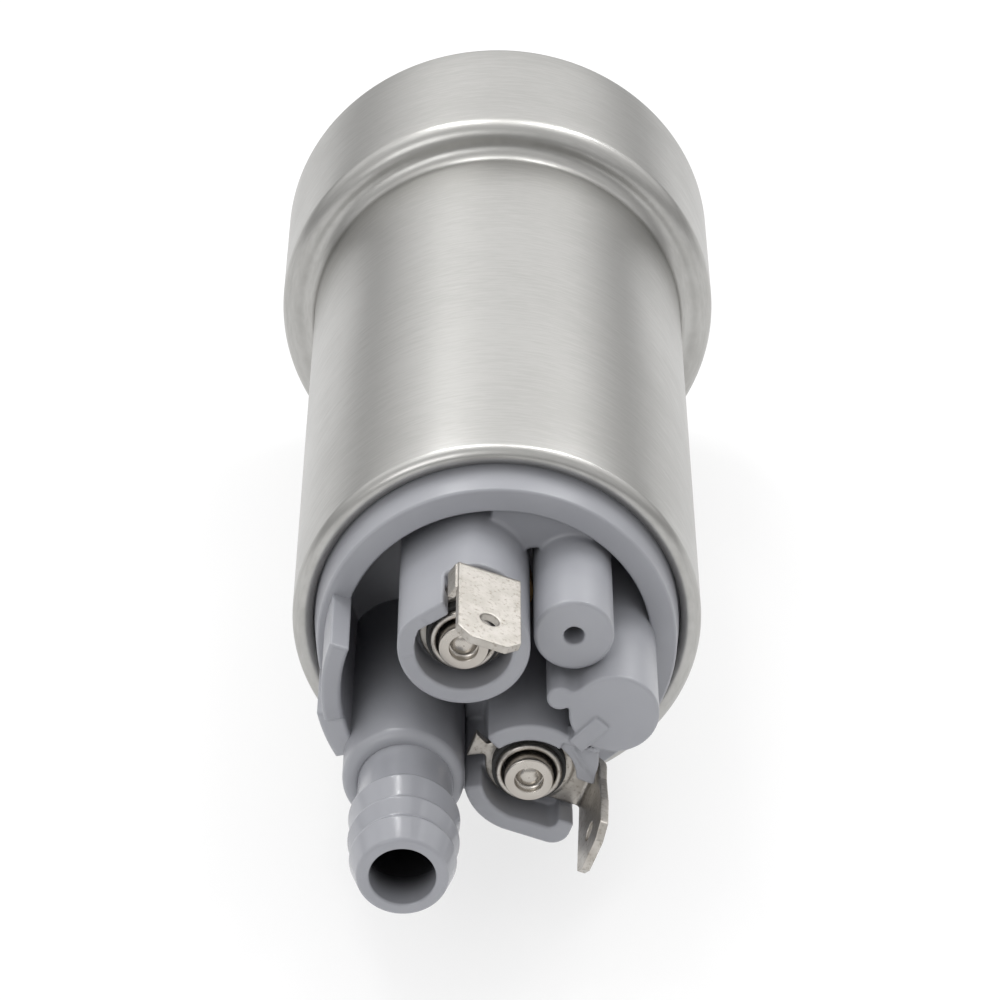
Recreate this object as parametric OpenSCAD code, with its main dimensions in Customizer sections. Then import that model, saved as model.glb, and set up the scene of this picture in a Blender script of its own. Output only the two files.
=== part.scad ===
// In-tank electric fuel pump with a stepped steel can.
// The pump lies down: its axis runs along -Y towards the outlet and +Z is up.
// The origin is on the axis, at the middle of the can's straight body wall.
// Each piece is first drawn with the pump standing on its inlet end, +z to the outlet.

/* [Can] */
// Outside diameter of the can's body
body_d = 39; // [38.6:0.1:41]
// Outside diameter of the can's wider inlet end
base_d = 46; // [45.6:0.1:52]
// Length of the can's body, from the shoulder to the outlet rim
body_len = 61; // [60:0.5:72]
// Length of the can's wider inlet end
base_len = 19; // [18:0.5:24]
// Thickness of the can's sheet
sheet = 1; // [0.8:0.05:1.1]
// Radius of the rolled bead at each end of the can
bead_r = 1.05; // [0.9:0.05:1.2]
// Radius of the concave bend where the shoulder meets the body
bend_r = 1.8; // [1.2:0.1:2.4]
// Radius of the shoulder's outer edge
edge_r = 1.1; // [1.1:0.1:1.8]

/* [Outlet cover] */
// Height of the collar above the can's outlet rim
collar_h = 3.3; // [2.8:0.1:4]
// Width of the collar's wall
collar_wall = 2.75; // [2.2:0.05:3]
// Depth of the open well inside the collar, below the outlet rim
well_depth = 8; // [7:0.5:9]
// Thickness of the well's floor
floor_t = 3; // [2.6:0.1:3.5]
// Height of the locating tab above the outlet rim
tab_h = 12; // [10:0.5:13]
// Width of the locating tab's wall
tab_wall = 1.85; // [1.5:0.05:2.2]
// Diameter of the seal's cord between cover and can
seal_d = 1; // [0.8:0.05:1.1]

/* [Brush towers] */
// Distance of each brush post from the pump's axis
post_dist = 7.9; // [7.8:0.05:8.1]
// Direction of the upper post, seen from the outlet end
post_angle = 112.4; // [108:0.2:116]
// Height of both towers above the outlet rim
tower_h = 15.4; // [14.5:0.1:17]
// Outside diameter of a tower
tower_d = 12.2; // [11.8:0.1:12.4]
// Bore of a tower above the terminal
tower_bore = 9; // [8.8:0.1:9.4]
// Depth of a tower's bore, down to the terminal's seat
seat_depth = 3.8; // [3.4:0.1:4.2]
// Depth of the slots in the towers' walls
slot_depth = 5; // [4.6:0.1:6]
// Length of the lower tower's straight walls, from its post
lower_reach = 5.7; // [5.5:0.05:5.75]

/* [Bosses] */
// Direction of the lower terminal's arm, seen from the outlet end
arm_angle = -20.5; // [-24:0.5:-18]
// Direction of the vent boss, seen from the outlet end
vent_way = 46.6; // [44:0.1:48]
// Distance of the vent boss's middle inside the collar's wall
vent_in = 7; // [6.8:0.1:7.4]
// Diameter of the vent boss
vent_d = 7.4; // [6.8:0.1:7.5]
// Bore of the vent boss
vent_bore = 1.9; // [1.5:0.1:2.4]
// Height of the vent boss above the outlet rim
vent_h = 13.6; // [12:0.1:15]
// Direction of the relief valve's housing, seen from the outlet end
relief_way = 0.8; // [-1:0.1:2]
// Distance of that housing's middle inside the collar's wall
relief_in = 6.5; // [6.4:0.1:6.8]
// Diameter of the relief valve's housing
relief_d = 8.36; // [8.2:0.02:8.6]
// Height of the relief valve's housing above the outlet rim
relief_h = 15.6; // [15:0.1:17]
// Diameter of the small lobe on the relief valve's housing
lobe_d = 2.4; // [2:0.1:2.8]

/* [Outlet port] */
// Direction of the hose tail, seen from the outlet end
port_way = 222.17; // [220:0.01:224]
// Distance of the hose tail's middle inside the collar's wall
port_in = 5.87; // [5.85:0.01:6.4]
// Bore of the hose tail
port_bore = 6.06; // [5.4:0.02:6.6]
// Diameter of the port's root, under the hose tail
port_root_d = 11.4; // [11:0.1:11.6]
// Height of the port's root above the outlet rim
port_root_h = 15.5; // [14.5:0.1:17]
// Diameter of the hose tail's neck
neck_d = 8.9; // [8.4:0.1:9.2]
// Diameter of the two full barbs
barb_d = 10.4; // [9.8:0.1:10.8]
// Diameter of the leading barb
lead_barb_d = 9.4; // [9:0.1:9.6]
// Diameter of the hose tail's tip
tip_d = 8.3; // [7.8:0.1:8.6]
// Length of the hose tail, from the root to the tip
tail_len = 14.7; // [13:0.1:17]

/* [Terminals] */
// Width of a terminal blade
blade_w = 6; // [5.6:0.1:6.3]
// Thickness of a terminal blade
blade_t = 0.8; // [0.6:0.05:0.9]
// Height of the blades' tips above the towers
blade_rise = 8.9; // [8:0.1:10]
// Distance of a blade's inner face from its post
blade_dist = 6.15; // [6:0.05:6.3]
// Diameter of the hole in a blade
blade_hole = 1.84; // [1.4:0.02:2.2]
// Distance of that hole from the blade's tip
blade_hole_drop = 3.65; // [3:0.05:5.5]
// Chamfer at the corners of a blade's tip
tip_chamfer = 1.25; // [0.8:0.05:2.4]
// Nick in the lower blade's root, beside the tower's finger
blade_nick = 0.6; // [0.4:0.1:1]
// Outside radius of the bend between a terminal's arm and its blade
blade_bend = 1.2; // [1:0.1:1.6]
// Diameter of a terminal's round plate
plate_d = 8.2; // [7.8:0.1:8.5]
// Outside diameter of the collar drawn up from the plate
eyelet_d = 6.2; // [6:0.1:6.6]
// Diameter of the crimped ferrule in a terminal
ferrule_d = 4.6; // [4.2:0.1:5]

/* [Brushes] */
// Brush size towards the axis
brush_t = 5; // [4.6:0.1:5.1]
// Brush size across the radius
brush_w = 6.5; // [6:0.1:6.6]
// Brush length
brush_len = 9; // [7:0.5:10]
// Wire diameter of a brush spring
brush_wire = 0.5; // [0.4:0.05:0.6]
// Curls in a brush spring
brush_curls = 9; // [7:1:10]

/* [Valves] */
// Diameter of the outlet check valve's chamber
check_chamber = 8.4; // [8:0.1:8.6]
// Diameter of the check valve's head
check_head = 6.6; // [6:0.1:7]
// Travel of the check valve
check_travel = 2.5; // [2:0.1:3]
// Diameter of the relief valve's chamber
relief_chamber = 5.8; // [5.6:0.1:6]
// Diameter of the relief valve's ball
relief_ball = 4.4; // [4.2:0.1:4.6]

/* [Motor] */
// Shaft diameter
shaft_d = 4; // [3.8:0.1:4.2]
// Height of the laminations above the channel plate, which is room for the end turns
stack_room = 9.05; // [8.4:0.05:11]
// Slots in the laminations, and segments in the commutator
slots = 8; // [6:1:10]
// Diameter of a lamination's slot
slot_d = 4.8; // [4:0.1:5]
// Thickness of a magnet
magnet_t = 3; // [2.6:0.1:3.4]
// Angle that a magnet spans
magnet_span = 140; // [120:1:150]
// Thickness of the flux ring
flux_t = 1.9; // [1.6:0.1:2]
// Air gap between the magnets and the laminations
air_gap = 0.6; // [0.5:0.05:0.9]
// Distance of the commutator's rim inside the armature's
commutator_in = 1.6; // [1.4:0.1:2.1]
// Outside diameter of a shaft bearing
bearing_d = 7; // [6.6:0.1:7.2]
// Length of a shaft bearing
bearing_len = 5; // [4:0.5:5]

/* [Turbine] */
// Wall of the spacer ring round the impeller
spacer_wall = 5.33; // [4.9:0.01:6.4]
// Thickness of the spacer ring
spacer_t = 3.8; // [3.2:0.1:4.2]
// Vanes round the impeller
vanes = 37; // [29:1:41]
// Depth of the impeller's vanes
vane_depth = 3.2; // [2.6:0.1:3.6]
// Thickness of the inlet plate inside the can
inlet_plate_t = 5.4; // [5:0.1:6]
// Outside diameter of the inlet nipple
nipple_d = 11; // [10.6:0.1:12]
// Bore of the inlet nipple
nipple_bore = 8; // [7:0.1:8.4]
// Length of the inlet nipple beyond the can
nipple_len = 7; // [5:0.5:9]
// Distance of the inlet nipple's middle inside the flow channel's
nipple_in = 2.4; // [1.6:0.1:2.9]

/* [Hidden] */

// Clearances: a seat between flat faces, and a running or push fit on a radius
seat = 0.05;
fit = 0.03;
cut = 0.5;
// Step that keeps two flat faces out of one plane
hair = 0.02;
round_fn = 96;
small_fn = 48;

// Can
body_r = body_d / 2;
base_r = base_d / 2;
can_len = base_len + body_len;
bead_drop = 1.5 * bead_r;
bead_reach = 1.87 * bead_r;
body_in = body_r - sheet;
base_in = base_r - sheet;
shoulder = base_r - body_r;
edge_round = min(edge_r, 0.35 * shoulder);
inner_edge = max(edge_round - sheet, hair);
bend_round = min(bend_r, shoulder - sheet - inner_edge - hair);
rim_in = body_r - bead_reach;
wall_low = base_len + bend_round;
wall_high = can_len - bead_r;
origin_z = (wall_low + wall_high) / 2;

// Outlet cover, measured up from the inlet end
rim_gap = 0.2;
collar_r = rim_in - rim_gap;
collar_taper = 0.3;
collar_top = can_len + collar_h;
well_r = collar_r - collar_wall;
floor_z = can_len - well_depth;
under_z = floor_z - floor_t;
flange_r = body_in - 0.1;
flange_z = can_len - bead_drop - seat;
tower_z = can_len + tower_h;
tower_r = tower_d / 2;
seat_z = tower_z - seat_depth;
port_pos = (collar_r - port_in) * [cos(port_way), sin(port_way)];
port_root_pos = port_pos - [0.22, 0];
vent_pos = (collar_r - vent_in) * [cos(vent_way), sin(vent_way)];
relief_pos = (collar_r - relief_in) * [cos(relief_way), sin(relief_way)];
lobe_pos = [-5.03, 1.7];
relief_z = can_len + relief_h;
port_root_z = can_len + port_root_h;
tip_z = port_root_z + tail_len;
slot_open = [38, 110];
ear_open = [130, 188];
flat_way = 123;
flat_out = 5.25;
flat_in = 3.8;
tab_open = [160, 191, 208];
corner_r = 1.7;
lower_wall = 1.5;
lower_bore = 8.8;

// Terminals: a frame whose x runs out along the arm and y across it
arm_z = seat_z + seat;
arm_top = arm_z + blade_t;
blade_tip = tower_z + blade_rise;
blade_out = blade_dist + blade_t;
blade_lean = [0, 2];
arm_room = blade_w / 2 + 0.2;
eyelet_wall = 0.54;
eyelet_rise = 1.8;
ferrule_top = tower_z;
ferrule_low = seat_z - 1;
ferrule_hollow = 2.66;

// Motor, from the commutator's face down
commutator_z = under_z - 3;
segment_t = 3.5;
commutator_t = 4;
overhang = 4.4;
insulator_t = 0.8;
stack_top = commutator_z - segment_t - commutator_t - overhang - insulator_t - 0.3;
channel_top = base_len - sheet - seat;
stack_low = channel_top + stack_room;
stack_len = stack_top - stack_low;
stack_mid = stack_top - stack_len / 2;
flux_r = body_in - seat;
flux_in = flux_r - flux_t;
magnet_r = flux_in - seat;
magnet_in = magnet_r - magnet_t;
armature_r = magnet_in - air_gap;
slot_dist = armature_r - 1.4 - slot_d / 2;
commutator_r = armature_r - commutator_in;
base_lip = 0.4;
flux_len = stack_len + 12;
flux_top = stack_mid + flux_len / 2;
magnet_len = stack_len + 6;
shaft_r = shaft_d / 2;
bearing_r = bearing_d / 2;
flat_cut = 0.6;

// Turbine stack, from the inlet rim up
plate_r = base_in - seat;
plate_low = bead_drop + seat;
plate_top = plate_low + inlet_plate_t;
spacer_low = plate_top + seat;
spacer_top = spacer_low + spacer_t;
channel_low = spacer_top + seat;
impeller_gap = 0.1;
rim_play = 0.12;
impeller_r = plate_r - spacer_wall - rim_play;
channel_dist = impeller_r - vane_depth / 2;
nipple_dist = channel_dist - nipple_in;
channel_depth = 1.5;
boss_r = 7;
boss_top = channel_top + 4;
button_z = plate_top - 3;
button_t = 1.5;
shaft_low = button_z + button_t + seat;
shaft_top = under_z + bearing_len + 0.9;
nipple_angle = -90;

// Brush and spring places
brush_z = commutator_z + 0.1;
brush_top = brush_z + brush_len;
brush_fit = 0.05;
guide_low = commutator_z + 0.8;
guide_wall = 1.1;
lead_r = 0.5;

// Check valve and relief valve places
check_seat_z = under_z + 2.9;
check_head_t = 1.9;
check_spring_low = check_seat_z + seat + check_head_t + seat;
check_guide_z = can_len + 3;
check_guide_t = 2;
check_stem_top = check_guide_z + check_guide_t + 1;
check_roof = can_len + 11;
check_wire = 0.45;
check_spring_r = 2;
relief_seat_z = under_z + 2.4;
relief_seat_bore = 3;
relief_ball_z = relief_seat_z + sqrt(pow(relief_ball / 2, 2) - pow(relief_seat_bore / 2, 2)) + fit;
relief_spring_r = 1.6;
relief_wire = 0.45;
relief_spring_low = relief_ball_z
    + sqrt(pow(relief_ball / 2 + relief_wire / 2 + seat, 2) - pow(relief_spring_r, 2));
relief_roof = can_len + 10;

// Lays the standing pump down with its outlet towards -Y
module place() {
    rotate([90, 0, 0]) translate([0, 0, -origin_z]) children();
}

// Puts a piece on a post: the upper one, or the lower one half a turn round
module at_post(upper) {
    rotate([0, 0, post_angle + (upper ? 0 : 180)]) translate([post_dist, 0, 0])
        rotate([0, 0, -post_angle - (upper ? 0 : 180)]) children();
}

// Turns the x axis to the way a terminal's arm leaves its post
module along_arm(upper) {
    at_post(upper) rotate([0, 0, arm_angle + (upper ? 90 : 0)]) children();
}

function arc(c, r, a0, a1, n = 6) =
    [for (i = [0:n]) c + r * [cos(a0 + (a1 - a0) * i / n), sin(a0 + (a1 - a0) * i / n)]];

module tube(r_out, r_in, z0, z1, fn = round_fn) {
    difference() {
        translate([0, 0, z0]) cylinder(r = r_out, h = z1 - z0, $fn = fn);
        translate([0, 0, z0 - cut]) cylinder(r = r_in, h = z1 - z0 + 2 * cut, $fn = fn);
    }
}

// A sector of a round, for cutting slots: from angle a0 to a1
module sector(r, a0, a1, z0, z1) {
    mid = (a0 + a1) / 2;
    reach = r / cos((a1 - a0) / 2);
    translate([0, 0, z0]) linear_extrude(z1 - z0)
        polygon([[0, 0], reach * [cos(a0), sin(a0)],
            r * 1.2 * [cos(mid), sin(mid)], reach * [cos(a1), sin(a1)]]);
}

// A wound spring as one unbroken tube: eight rings a curl and six sides
rings_per_curl = 8;
sides = 6;
function coil_point(r, z0, rise, curls, i) =
    let (a = 360 * i / rings_per_curl)
    [r * cos(a), r * sin(a), z0 + rise * i / (curls * rings_per_curl)];
function coil_ring(r, wire_r, z0, rise, curls, i) =
    let (a = 360 * i / rings_per_curl, p = coil_point(r, z0, rise, curls, i))
    [for (s = [0:sides - 1]) p + wire_r * [cos(a) * cos(60 * s), sin(a) * cos(60 * s), sin(60 * s)]];
function side_faces(k) = [for (s = [0:sides - 1]) each let (t = (s + 1) % sides)
    [[k * sides + s, k * sides + t, (k + 1) * sides + s],
     [k * sides + t, (k + 1) * sides + t, (k + 1) * sides + s]]];
function cap(k, turned) = [for (s = [1:sides - 2])
    turned ? [k * sides, k * sides + s + 1, k * sides + s]
           : [k * sides, k * sides + s, k * sides + s + 1]];

module spring(r, wire, z0, z1, curls) {
    rise = z1 - z0 - wire;
    last = curls * rings_per_curl;
    points = [for (i = [0:last]) each coil_ring(r, wire / 2, z0 + wire / 2, rise, curls, i)];
    faces = concat([for (k = [0:last - 1]) each side_faces(k)], cap(0, true), cap(last, false));
    polyhedron(points, faces, convexity = 8);
    gaps = [for (i = [0:last - rings_per_curl])
        norm(coil_point(r, z0, rise, curls, i + rings_per_curl) - coil_point(r, z0, rise, curls, i)) - wire];
    echo(str(parent_module(1), " least gap between curls ", min(gaps), " mm"));
}

// The can is one drawn shell: bead, wide base, shoulder, body and outlet bead
module can() {
    color("silver") place() rotate_extrude($fn = round_fn) polygon(concat(
        [[base_r - bead_reach, bead_drop], [base_r - bead_reach, 0.5 * bead_r]],
        arc([base_r - bead_r, bead_r], bead_r, 210, 360, 10),
        arc([base_r - edge_round, base_len - edge_round], edge_round, 0, 90),
        arc([body_r + bend_round, wall_low], bend_round, 270, 180),
        arc([body_r - bead_r, can_len - bead_r], bead_r, 0, 150, 10),
        [[rim_in, can_len - bead_drop], [body_in, can_len - bead_drop]],
        arc([body_r + bend_round, wall_low], bend_round + sheet, 180, 270),
        arc([base_in - inner_edge, base_len - sheet - inner_edge], inner_edge, 90, 0, 3),
        [[base_in, bead_drop]]));
}

// Cover

module collar_body() {
    groove_z = flange_z - 4.5;
    fillet = 0.3;
    rotate_extrude($fn = round_fn) polygon(concat(
        [[0, under_z], [flux_in + 0.05, under_z], [flux_in + 0.05, flux_top + seat],
         [flange_r, flux_top + seat], [flange_r, groove_z],
         [flange_r - seal_d, groove_z], [flange_r - seal_d, groove_z + 1.3 * seal_d],
         [flange_r, groove_z + 1.3 * seal_d], [flange_r, flange_z], [collar_r, flange_z],
         [collar_r, can_len]],
        arc([collar_r - collar_taper - fillet, collar_top - fillet], fillet, 5, 90, 4),
        arc([well_r + fillet, collar_top - fillet], fillet, 90, 180, 4),
        [[well_r - 0.3, floor_z], [0, floor_z]]));
}

module locating_tab() {
    tab_r = collar_r - 1;
    tab_z = can_len + tab_h;
    fillet = 0.3;
    low = can_len + 0.5;
    rotate([0, 0, tab_open[0]]) rotate_extrude(angle = tab_open[1] - tab_open[0], $fn = round_fn)
        polygon(concat([[tab_r - tab_wall, low], [tab_r, low]],
            arc([tab_r - fillet, tab_z - fillet], fillet, 0, 90, 3),
            arc([tab_r - tab_wall + fillet, tab_z - fillet], fillet, 90, 180, 3)));
    // Stepped foot beside the port's root, with a sloping top
    foot_r = collar_r - 0.2;
    foot_in = tab_r - tab_wall + hair;
    rotate([0, 0, tab_open[1] - 1]) rotate_extrude(angle = tab_open[2] - tab_open[1] + 1, $fn = round_fn)
        polygon([[foot_in, low], [foot_r, low], [foot_r, tab_z - 1.9], [foot_r - 0.35, tab_z - 1.4],
            [foot_in + 0.3, tab_z - 0.4], [foot_in, tab_z - 0.7]]);
}

// One round post with a softened outer edge
module tower_wall() {
    fillet = 0.3;
    rotate_extrude($fn = round_fn) polygon(concat(
        [[0, floor_z - 1], [tower_r, floor_z - 1]],
        arc([tower_r - fillet, tower_z - fillet], fillet, 0, 90, 3), [[0, tower_z]]));
}

// Half plane beyond a flat at the given distance from the post
module beyond_flat(dist, z0, z1) {
    rotate([0, 0, flat_way]) translate([dist, -tower_d, z0]) cube([tower_d, 2 * tower_d, z1 - z0]);
}

// Window in a tower's wall for its terminal's arm
module arm_window() {
    translate([2, -arm_room, seat_z]) cube([tower_d, 2 * arm_room, arm_top + 0.15 - seat_z]);
}

// Notch through a tower's wall that leaves the floor under the terminal whole
module wall_notch(a0, a1, bore) {
    notch_low = tower_z - slot_depth;
    difference() {
        rotate([0, 0, a0]) sector(tower_d, 0, a1 - a0, notch_low, tower_z + 1);
        translate([0, 0, notch_low - cut]) cylinder(d = bore - 0.4, h = seat_z - notch_low + cut, $fn = round_fn);
    }
}

module upper_tower() {
    difference() {
        tower_wall();
        wall_notch(slot_open[0], slot_open[1], tower_bore);
        beyond_flat(flat_out, floor_z, tower_z + 1);
        difference() {
            translate([0, 0, seat_z]) cylinder(d = tower_bore, h = seat_depth + 1, $fn = round_fn);
            beyond_flat(flat_in, seat_z - cut, tower_z + 1.5);
        }
        rotate([0, 0, arm_angle + 90]) arm_window();
    }
}

// The lower tower is round towards the relief valve and a straight box on its other side
module lower_outline(r, reach, corner) {
    circle(r = r, $fn = round_fn);
    translate([0, -r]) square([reach - corner, r]);
    translate([0, corner - r]) square([reach, r - corner]);
    translate([reach - corner, corner - r]) circle(r = corner, $fn = small_fn);
}

module lower_tower() {
    finger = [[0, 0], [lower_reach, 0], [lower_reach, 3.2], [4.95, 5.4], [4.1, 5.4], [2.5, 5]];
    finger_edge = [[4.3, -1], [4.3, 1.2], [6.2, 1.6], [6.2, -1]];
    window_top = arm_top + 0.15;
    difference() {
        rotate([0, 0, arm_angle]) translate([0, 0, floor_z - 1]) linear_extrude(tower_z - floor_z + 1) {
            lower_outline(tower_r, lower_reach, corner_r);
            polygon(finger);
        }
        rotate([0, 0, arm_angle]) {
            translate([0, 0, seat_z]) linear_extrude(seat_depth + 1)
                lower_outline(lower_bore / 2, lower_reach - lower_wall, 0.8);
            // Window for the arm, open at the top beside the finger
            translate([2.2, 0, 0]) rotate([90, 0, 90]) linear_extrude(lower_reach)
                polygon([[-arm_room, seat_z + hair], [arm_room, seat_z + hair], [arm_room, window_top],
                    [1.2, window_top], [1.2, tower_z + 1], [-arm_room, tower_z + 1]]);
            translate([0, 0, arm_z]) linear_extrude(seat_depth + 1) polygon(finger_edge);
            // The end wall's notch goes on below the arm
            translate([lower_reach - lower_wall - hair, hair - arm_room, tower_z - slot_depth])
                cube([lower_reach, 2 * arm_room - 2 * hair, slot_depth - seat_depth + cut]);
        }
        wall_notch(ear_open[0], ear_open[1], lower_bore);
    }
}

// Square channel that guides a brush, through floor and tower
module brush_channel(grow, z0, z1) {
    rotate([0, 0, post_angle]) translate([0, 0, (z0 + z1) / 2])
        cube([brush_t + 2 * grow, brush_w + 2 * grow, z1 - z0], center = true);
}

module relief_housing() {
    fillet = 0.3;
    rotate_extrude($fn = round_fn) polygon(concat(
        [[0, floor_z - 1], [relief_d / 2, floor_z - 1]],
        arc([relief_d / 2 - fillet, relief_z - fillet], fillet, 0, 90, 3), [[0, relief_z]]));
    lobe_len = relief_z - hair - floor_z + 1;
    translate([lobe_pos[0], lobe_pos[1], floor_z - 1])
        cylinder(d = lobe_d, h = lobe_len, $fn = small_fn);
    translate([lobe_pos[0], lobe_pos[1] - 0.35 * lobe_d, floor_z - 1])
        cube([2.5, 0.67 * lobe_d, lobe_len]);
    // Raised bar across the face, which runs on to the lower tower's wall
    rotate([0, 0, 47]) translate([-4.9, -0.6, relief_z - 2]) cube([3.7, 1.8, 2.25]);
}

module vent_boss() {
    fillet = 0.25;
    rotate_extrude($fn = small_fn) polygon(concat(
        [[0, floor_z - 1], [vent_d / 2, floor_z - 1]],
        arc([vent_d / 2 - fillet, can_len + vent_h - fillet], fillet, 0, 90, 3),
        [[0, can_len + vent_h]]));
}

module port_root() {
    round_r = 1;
    rotate_extrude($fn = round_fn) polygon(concat(
        [[0, floor_z - 1], [port_root_d / 2, floor_z - 1]],
        arc([port_root_d / 2 - round_r, port_root_z - round_r], round_r, 0, 90, 5), [[0, port_root_z]]));
}

// Hose tail: a neck, two full barbs and a leading barb
module hose_tail() {
    step = 0.15;
    barb_1 = port_root_z + 5.8;
    barb_2 = barb_1 + 3.4;
    barb_3 = barb_2 + 2.7;
    rotate_extrude($fn = round_fn) polygon(
        [[0, floor_z], [neck_d / 2, floor_z], [neck_d / 2, barb_1 - 0.3], [barb_d / 2 - step, barb_1 - step],
         [barb_d / 2, barb_1], [barb_d / 2 - 0.55, barb_2 - 0.25], [barb_d / 2 - step, barb_2 - step],
         [barb_d / 2, barb_2], [lead_barb_d / 2 - 0.2, barb_3 - 0.2], [lead_barb_d / 2, barb_3],
         [tip_d / 2, tip_z - 0.2], [tip_d / 2 - 0.2, tip_z], [0, tip_z]]);
}

module outlet_cover() {
    shelf = [[-0.5, 9.2], [8.6, 10.4], [9.3, 11.2], [8.4, 12.4], [5, 14], [-0.5, 14.8]];
    color("slategray") place() difference() {
        union() {
            collar_body();
            locating_tab();
            translate([0, 0, floor_z - 1]) cylinder(r = bearing_r + 1.6, h = 6, $fn = small_fn);
            at_post(true) upper_tower();
            at_post(false) lower_tower();
            for (upper = [true, false]) at_post(upper) brush_channel(guide_wall, guide_low, floor_z);
            translate(relief_pos) relief_housing();
            translate(vent_pos) vent_boss();
            translate(port_root_pos) port_root();
            translate(port_pos) hose_tail();
            translate([0, 0, floor_z - 1]) linear_extrude(can_len + 2 - floor_z + 1) polygon(shelf);
        }
        // Brush channels up to the terminals' seats
        for (upper = [true, false]) at_post(upper) brush_channel(brush_fit, guide_low - 1, seat_z + cut);
        // Blind bearing pocket and room for the shaft's end
        translate([0, 0, under_z - cut]) cylinder(r = bearing_r + fit, h = bearing_len + 0.1 + cut, $fn = small_fn);
        translate([0, 0, under_z]) cylinder(r = shaft_r + 0.4, h = bearing_len + 1.6, $fn = small_fn);
        // Outlet passage: valve chamber, then the hose tail's bore
        translate(port_pos) translate([0, 0, under_z - cut])
            cylinder(d = check_chamber, h = check_roof - under_z + cut, $fn = round_fn);
        translate(port_pos) translate([0, 0, check_roof - 1])
            cylinder(d = port_bore, h = tip_z - check_roof + 2, $fn = round_fn);
        // Relief valve's chamber and its side vent into the well
        translate(relief_pos) translate([0, 0, under_z - cut])
            cylinder(d = relief_chamber, h = relief_roof - under_z + cut, $fn = small_fn);
        translate(relief_pos) translate([0, 0, can_len]) rotate([-90, 0, 60])
            cylinder(d = 1.6, h = relief_d, $fn = 24);
        // Vent boss: bore and the small jet under it
        translate(vent_pos) translate([0, 0, floor_z + 2]) cylinder(d = vent_bore, h = vent_h + well_depth, $fn = small_fn);
        translate(vent_pos) translate([0, 0, under_z - cut]) cylinder(d = 0.8, h = floor_t + 4, $fn = 24);
    }
}

module cover_seal() {
    groove_z = flange_z - 4.5;
    color("black") place() rotate_extrude($fn = round_fn)
        translate([flange_r - seal_d / 2 + fit, groove_z + 0.65 * seal_d]) circle(d = seal_d, $fn = 24);
}

// Terminals

// A blade bent up from its arm and leaning back towards the post, with a nick at its root
module blade(lean, nick) {
    half = blade_w / 2;
    bend_in = blade_bend - blade_t;
    tall = blade_tip - arm_z - blade_bend;
    translate([blade_out - blade_bend, 0, arm_z + blade_bend]) {
        rotate([90, 0, 0]) rotate([0, 0, -90]) rotate_extrude(angle = 90 + lean, $fn = round_fn)
            translate([bend_in, nick - half]) square([blade_t, blade_w - nick]);
        rotate([0, -lean, 0]) difference() {
            translate([bend_in, 0, 0]) rotate([90, 0, 90]) linear_extrude(blade_t)
                polygon(concat([[-half, 0]],
                    nick > 0 ? [[half - nick, 0], [half - nick, 2.2], [half, 6.4]] : [[half, 0]],
                    [[half, tall - tip_chamfer], [half - tip_chamfer, tall],
                     [tip_chamfer - half, tall], [-half, tall - tip_chamfer]]));
            translate([bend_in - cut, 0, tall - blade_hole_drop]) rotate([0, 90, 0])
                cylinder(d = blade_hole, h = blade_t + 2 * cut, $fn = 32);
        }
    }
}

// Round plate with a drawn collar, and the arm out to the blade
module terminal_plate(flat_turn, flat_dist, nick) {
    difference() {
        union() {
            difference() {
                translate([0, 0, arm_z]) cylinder(d = plate_d, h = blade_t, $fn = round_fn);
                rotate([0, 0, flat_turn]) translate([flat_dist, -plate_d, arm_z - cut])
                    cube([plate_d, 2 * plate_d, blade_t + 2 * cut]);
            }
            translate([0, 0, arm_z]) cylinder(d = eyelet_d, h = blade_t + eyelet_rise, $fn = small_fn);
            translate([1, -blade_w / 2, arm_z]) cube([blade_out - blade_bend - 1, blade_w - nick, blade_t]);
        }
        translate([0, 0, arm_z - cut])
            cylinder(d = eyelet_d - 2 * eyelet_wall, h = blade_t + eyelet_rise + 2 * cut, $fn = small_fn);
    }
}

module terminal_positive() {
    wing_len = 4.8;
    color("gainsboro") place() along_arm(true) {
        terminal_plate(flat_way - arm_angle - 90, flat_in - 0.1, 0);
        blade(blade_lean[0], 0);
        // Folded wing beside the blade's root
        translate([0, 0, arm_z + blade_t]) linear_extrude(wing_len - blade_t)
            polygon([[blade_out - 0.1, blade_w / 2 - 0.1], [blade_out - 0.3, blade_w / 2 + 0.25],
                [blade_out - 1.6, blade_w / 2 + 0.55], [blade_out - 1.6, blade_w / 2 - 0.05],
                [blade_dist + 0.1, blade_w / 2 - 0.35]]);
    }
}

module terminal_negative() {
    color("gainsboro") place() along_arm(false) {
        terminal_plate(0, plate_d, blade_nick);
        blade(blade_lean[1], blade_nick);
        // Ear that hooks through the tower's slot
        translate([0, 0, arm_z]) linear_extrude(blade_t)
            polygon([[-3.5, -0.75], [-4.6, -0.65], [-5.3, -1.35], [-5.75, -1.3],
                [-5.75, 1.3], [-5.3, 1.35], [-4.6, 0.65], [-3.5, 0.75]]);
    }
}

module terminal_ring() {
    tube(eyelet_d / 2 + 0.38, eyelet_d / 2 + fit, arm_top + seat, arm_top + 1.1, small_fn);
}
module terminal_ring_positive() { color("black") place() at_post(true) terminal_ring(); }
module terminal_ring_negative() { color("black") place() at_post(false) terminal_ring(); }

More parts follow.
